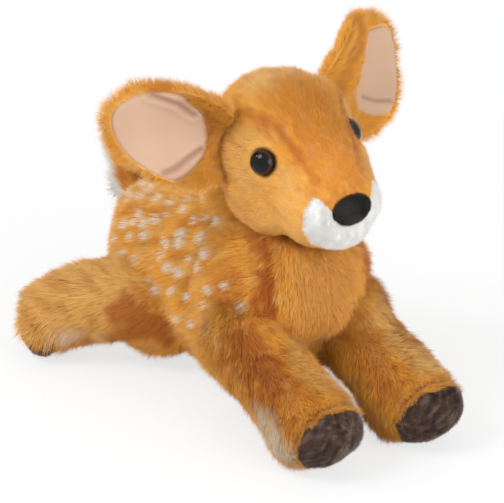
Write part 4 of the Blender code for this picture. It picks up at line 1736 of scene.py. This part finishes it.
@dataclass
class Tail:
    """The upright tail: tawny in front, white behind."""

    ahead: tuple = (-0.5592, 0.0, 0.829)
    front: tuple = (0.829, 0.0, 0.5592)
    pile: Pile = Pile(2.6, 0.0125, 0.00024, 1.1, 0.34, 0.34)
    fill: float = 0.5
    in_body: float = 0.006
    form: Object | None = None

    def build(self) -> None:
        """Makes the stuffed tail."""
        masses = (Mass((-155, 0, 114), (26, 12, 5), -56.0),)
        self.form = Stuffing("tail_plush", ("tail_front", "tail_back"), 0.0016, 5, masses).build()

    def dress(self, body: BVHTree) -> None:
        """Adds the pile of both faces, and the colours.

        Args:
            body: The body's search tree.
        """
        roots = self.pile.roots(self.form.data, 61).clear_of(body, self.in_body)
        is_white = roots.normals @ np.array(self.front) < 0.05
        for name, coat, slot, kept, marks in (
            ("tail_pile_front", TAWNY, "tawny_plush", ~is_white, TAIL_MARKS),
            ("tail_pile_back", WHITE, "white_plush", is_white, ()),
        ):
            grown = roots.only(kept)
            comb = np.array(self.ahead) + 0.35 * grown.normals
            reach = 0.95 + 0.1 * ripple(grown.points, 0.02, 5)
            Role("tail", slot).give(*self.pile.strands(name, coat, grown, comb, reach, marks, 62))
        nodes = ("tail_front", "tail_back")
        Role("tail", "tawny_plush").give_form(self.form, TAWNY, TAIL_MARKS, self.fill, nodes)


@dataclass(frozen=True)
class Studio:
    """The pale floor, the soft lamps and the camera."""

    target: tuple = (-0.010, 0.0, 0.100)
    azimuth: float = 53.98
    elevation: float = 24.5
    distance: float = 2.5
    frame_width: float = 0.3528
    sensor: float = 36.0
    ambient: float = 0.76
    floor_radius: float = 3.0
    white: tuple = colour(1.0, 1.0, 1.0)
    lamps: tuple = (
        ("key_lamp", (-0.10, -1.35, 1.60), 15.5, 0.9),
        ("fill_lamp", (1.75, 0.05, 0.75), 14.0, 1.2),
        ("catch_lamp", (-0.69, -1.24, 1.20), 1.6, 0.10),
    )

    def build(self) -> None:
        """Makes the whole studio."""
        self.build_world()
        self.build_floor()
        for lamp in self.lamps:
            self.build_lamp(*lamp)
        self.build_camera()
        bpy.context.scene.view_settings.view_transform = "Standard"

    def build_world(self) -> None:
        """Makes an even light, and white where the camera or a reflection looks past the floor."""
        world = bpy.data.worlds.new("studio_world")
        world.use_nodes = True
        bpy.context.scene.world = world
        graph = Graph(world.node_tree)
        kinds = ("Is Camera Ray", "Is Glossy Ray", "Is Transmission Ray")
        rays = [graph.add("ShaderNodeLightPath", out=kind) for kind in kinds]
        seen = (rays[0] + rays[1] + rays[2]).clipped()
        strength = seen * (1.0 - self.ambient) + self.ambient
        sockets = {"Color": self.white, "Strength": strength}
        light = graph.add("ShaderNodeBackground", None, sockets)
        graph.add("ShaderNodeOutputWorld", None, {"Surface": light})

    def build_floor(self) -> None:
        """Makes the pale floor, which keeps a soft shadow and is plain white further out."""
        work = bmesh.new()
        bmesh.ops.create_circle(work, cap_ends=True, segments=96, radius=self.floor_radius)
        floor = mesh_object("studio_floor", work)
        made = bpy.data.materials.new("pale_floor")
        made.use_nodes = True
        graph = Graph(made.node_tree)
        camera = graph.add("ShaderNodeLightPath", out="Is Camera Ray")
        place = graph.add("ShaderNodeTexCoord", out="Object")
        away = graph.add("ShaderNodeVectorMath", {"operation": "LENGTH"}, {0: place}, "Value")
        far = (away * 3.0 - 0.7).clipped()
        matte = graph.add("ShaderNodeBsdfDiffuse", None, {"Color": colour(0.9, 0.9, 0.9)})
        white = graph.add("ShaderNodeEmission", None, {"Color": self.white, "Strength": 1.0})
        share = camera * (0.72 + 0.28 * far)
        mix = graph.add("ShaderNodeMixShader", None, {0: share, 1: matte, 2: white})
        graph.add("ShaderNodeOutputMaterial", None, {"Surface": mix})
        floor.data.materials.append(made)

    def build_lamp(self, name: str, place: tuple, power: float, size: float) -> None:
        """Makes one soft round lamp that faces the fawn.

        Args:
            name: The lamp's name.
            place: Where it is.
            power: How bright it is, in watts.
            size: How wide it is.
        """
        lamp = bpy.data.lights.new(name, "AREA")
        lamp.energy = power
        lamp.shape = "DISK"
        lamp.size = size
        made = into_scene(name, lamp)
        made.location = place
        away = Vector(place) - Vector(self.target)
        made.rotation_euler = away.to_track_quat("Z", "Y").to_euler()

    def build_camera(self) -> None:
        """Makes the camera at the photograph's angle."""
        a, e = math.radians(self.azimuth), math.radians(self.elevation)
        back = Vector((math.sin(a) * math.cos(e), -math.cos(a) * math.cos(e), math.sin(e)))
        lens = bpy.data.cameras.new("camera")
        lens.sensor_width = self.sensor
        lens.lens = self.sensor * self.distance / self.frame_width
        lens.clip_end = 20.0
        camera = into_scene("camera", lens)
        camera.location = Vector(self.target) + back * self.distance
        camera.rotation_mode = "QUATERNION"
        camera.rotation_quaternion = (-back).to_track_quat("-Z", "Y")
        bpy.context.scene.camera = camera


def all_ears() -> list[Ear]:
    """Both ears, each at its own angle and with its own folds.

    Returns:
        The right ear and the left.
    """
    right_creases = (
        (((69, 23), (50, 22), (38, 16)), 2.2, 1.8),
        (((47, -27), (38, -21.5), (30.5, -14.5), (24, -8)), 1.6, 1.2),
    )
    left_creases = ((((34, -12), (38, -20), (45, -27)), 1.5, 0.8),)
    right_outline = (
        (90.8, -0.2), (90.3, 5.5), (88, 10.5), (83.5, 15), (75.5, 21.5), (65.5, 27), (57.6, 30),
        (50.4, 31), (40.5, 25), (31.5, 20.5), (25, 11.5), (20.5, 4), (18.5, -6), (21, -17),
        (29.5, -26), (40.2, -32), (48.1, -30.5), (60.5, -28), (69.5, -25.5), (80, -17.5), (87, -9),
    )
    left_outline = (
        (71, 16), (84, 9), (95, 2.5), (94.5, -3.2), (89.5, -12), (82, -21), (71, -27.5),
        (56.4, -31.5), (44.1, -32.5), (33.5, -31.5), (27, -28), (22.5, -20.6), (21, -11),
        (27.5, -6.5), (41, -2.9), (53.2, 2.3), (63.8, 10),
    )
    right = Ear(
        "right", (25, -38, 203), (-0.38, -0.875, 0.3), (0.9157, -0.4017, -0.0119),
        (0.1309, 0.2702, 0.9539), (55, 0), right_outline, right_creases,
    )
    left = Ear(
        "left", (25, 38, 203), (-0.3789, 0.8019, 0.4619), (0.903, 0.2113, 0.374),
        (-0.2023, -0.5589, 0.8042), (60, -11), left_outline, left_creases, -4.0,
    )
    return [right, left]


def all_legs() -> list[Leg]:
    """The four legs, each with its hoof's seam, its ridge and how far its pile hangs over it.

    Returns:
        The front legs and the hind legs, each pair with the right one first.
    """
    ahead, out = (0.9537, 0.0, -0.3007), (0.9724, 0.0, -0.2334)
    ridge, top = ((6, 22), (0, 4), (-8, -18)), Mass((48, -44, 75), (30, 18, 19), 17.0)
    right = Leg("front_leg_right", ahead, (132.3, -43.0, 30.3), out, ridge, 3.5, (top,))
    ridge, top = ((17, 16), (3, 3), (-11, -12)), Mass((54, 40, 72), (32, 18, 20), 17.0)
    left = Leg("front_leg_left", ahead, (138.3, 38.0, 26.3), out, ridge, 3.5, (top,))
    legs, ridge = [right, left], ((12, 4), (0, 0), (-12, -2))
    for name, side in (("right", -1.0), ("left", 1.0)):
        ahead, out = (-0.683, 0.683 * side, -0.2588), (-0.321, 0.321 * side, -0.891)
        legs.append(Leg(f"hind_leg_{name}", ahead, (-136.1, 98.1 * side, 30.0), out, ridge, 9.0))
    return legs


def main() -> None:
    """Builds and dresses every piece, and the studio."""
    logging.basicConfig(level=logging.INFO, format="%(name)s: %(message)s")
    body, head, tail, ears, legs = Body(), Head(), Tail(), all_ears(), all_legs()
    for piece in (body, head, tail, *ears, *legs):
        piece.build()
    body_tree, head_tree = tree_of(body.form.data), tree_of(head.form.data)
    body.dress(head_tree, [tree_of(leg.form.data) for leg in legs])
    head.dress(body_tree)
    tail.dress(body_tree)
    for ear in ears:
        ear.dress(head_tree)
    for leg in legs:
        leg.dress(body_tree)
    Studio().build()


if __name__ == "__main__":
    main()
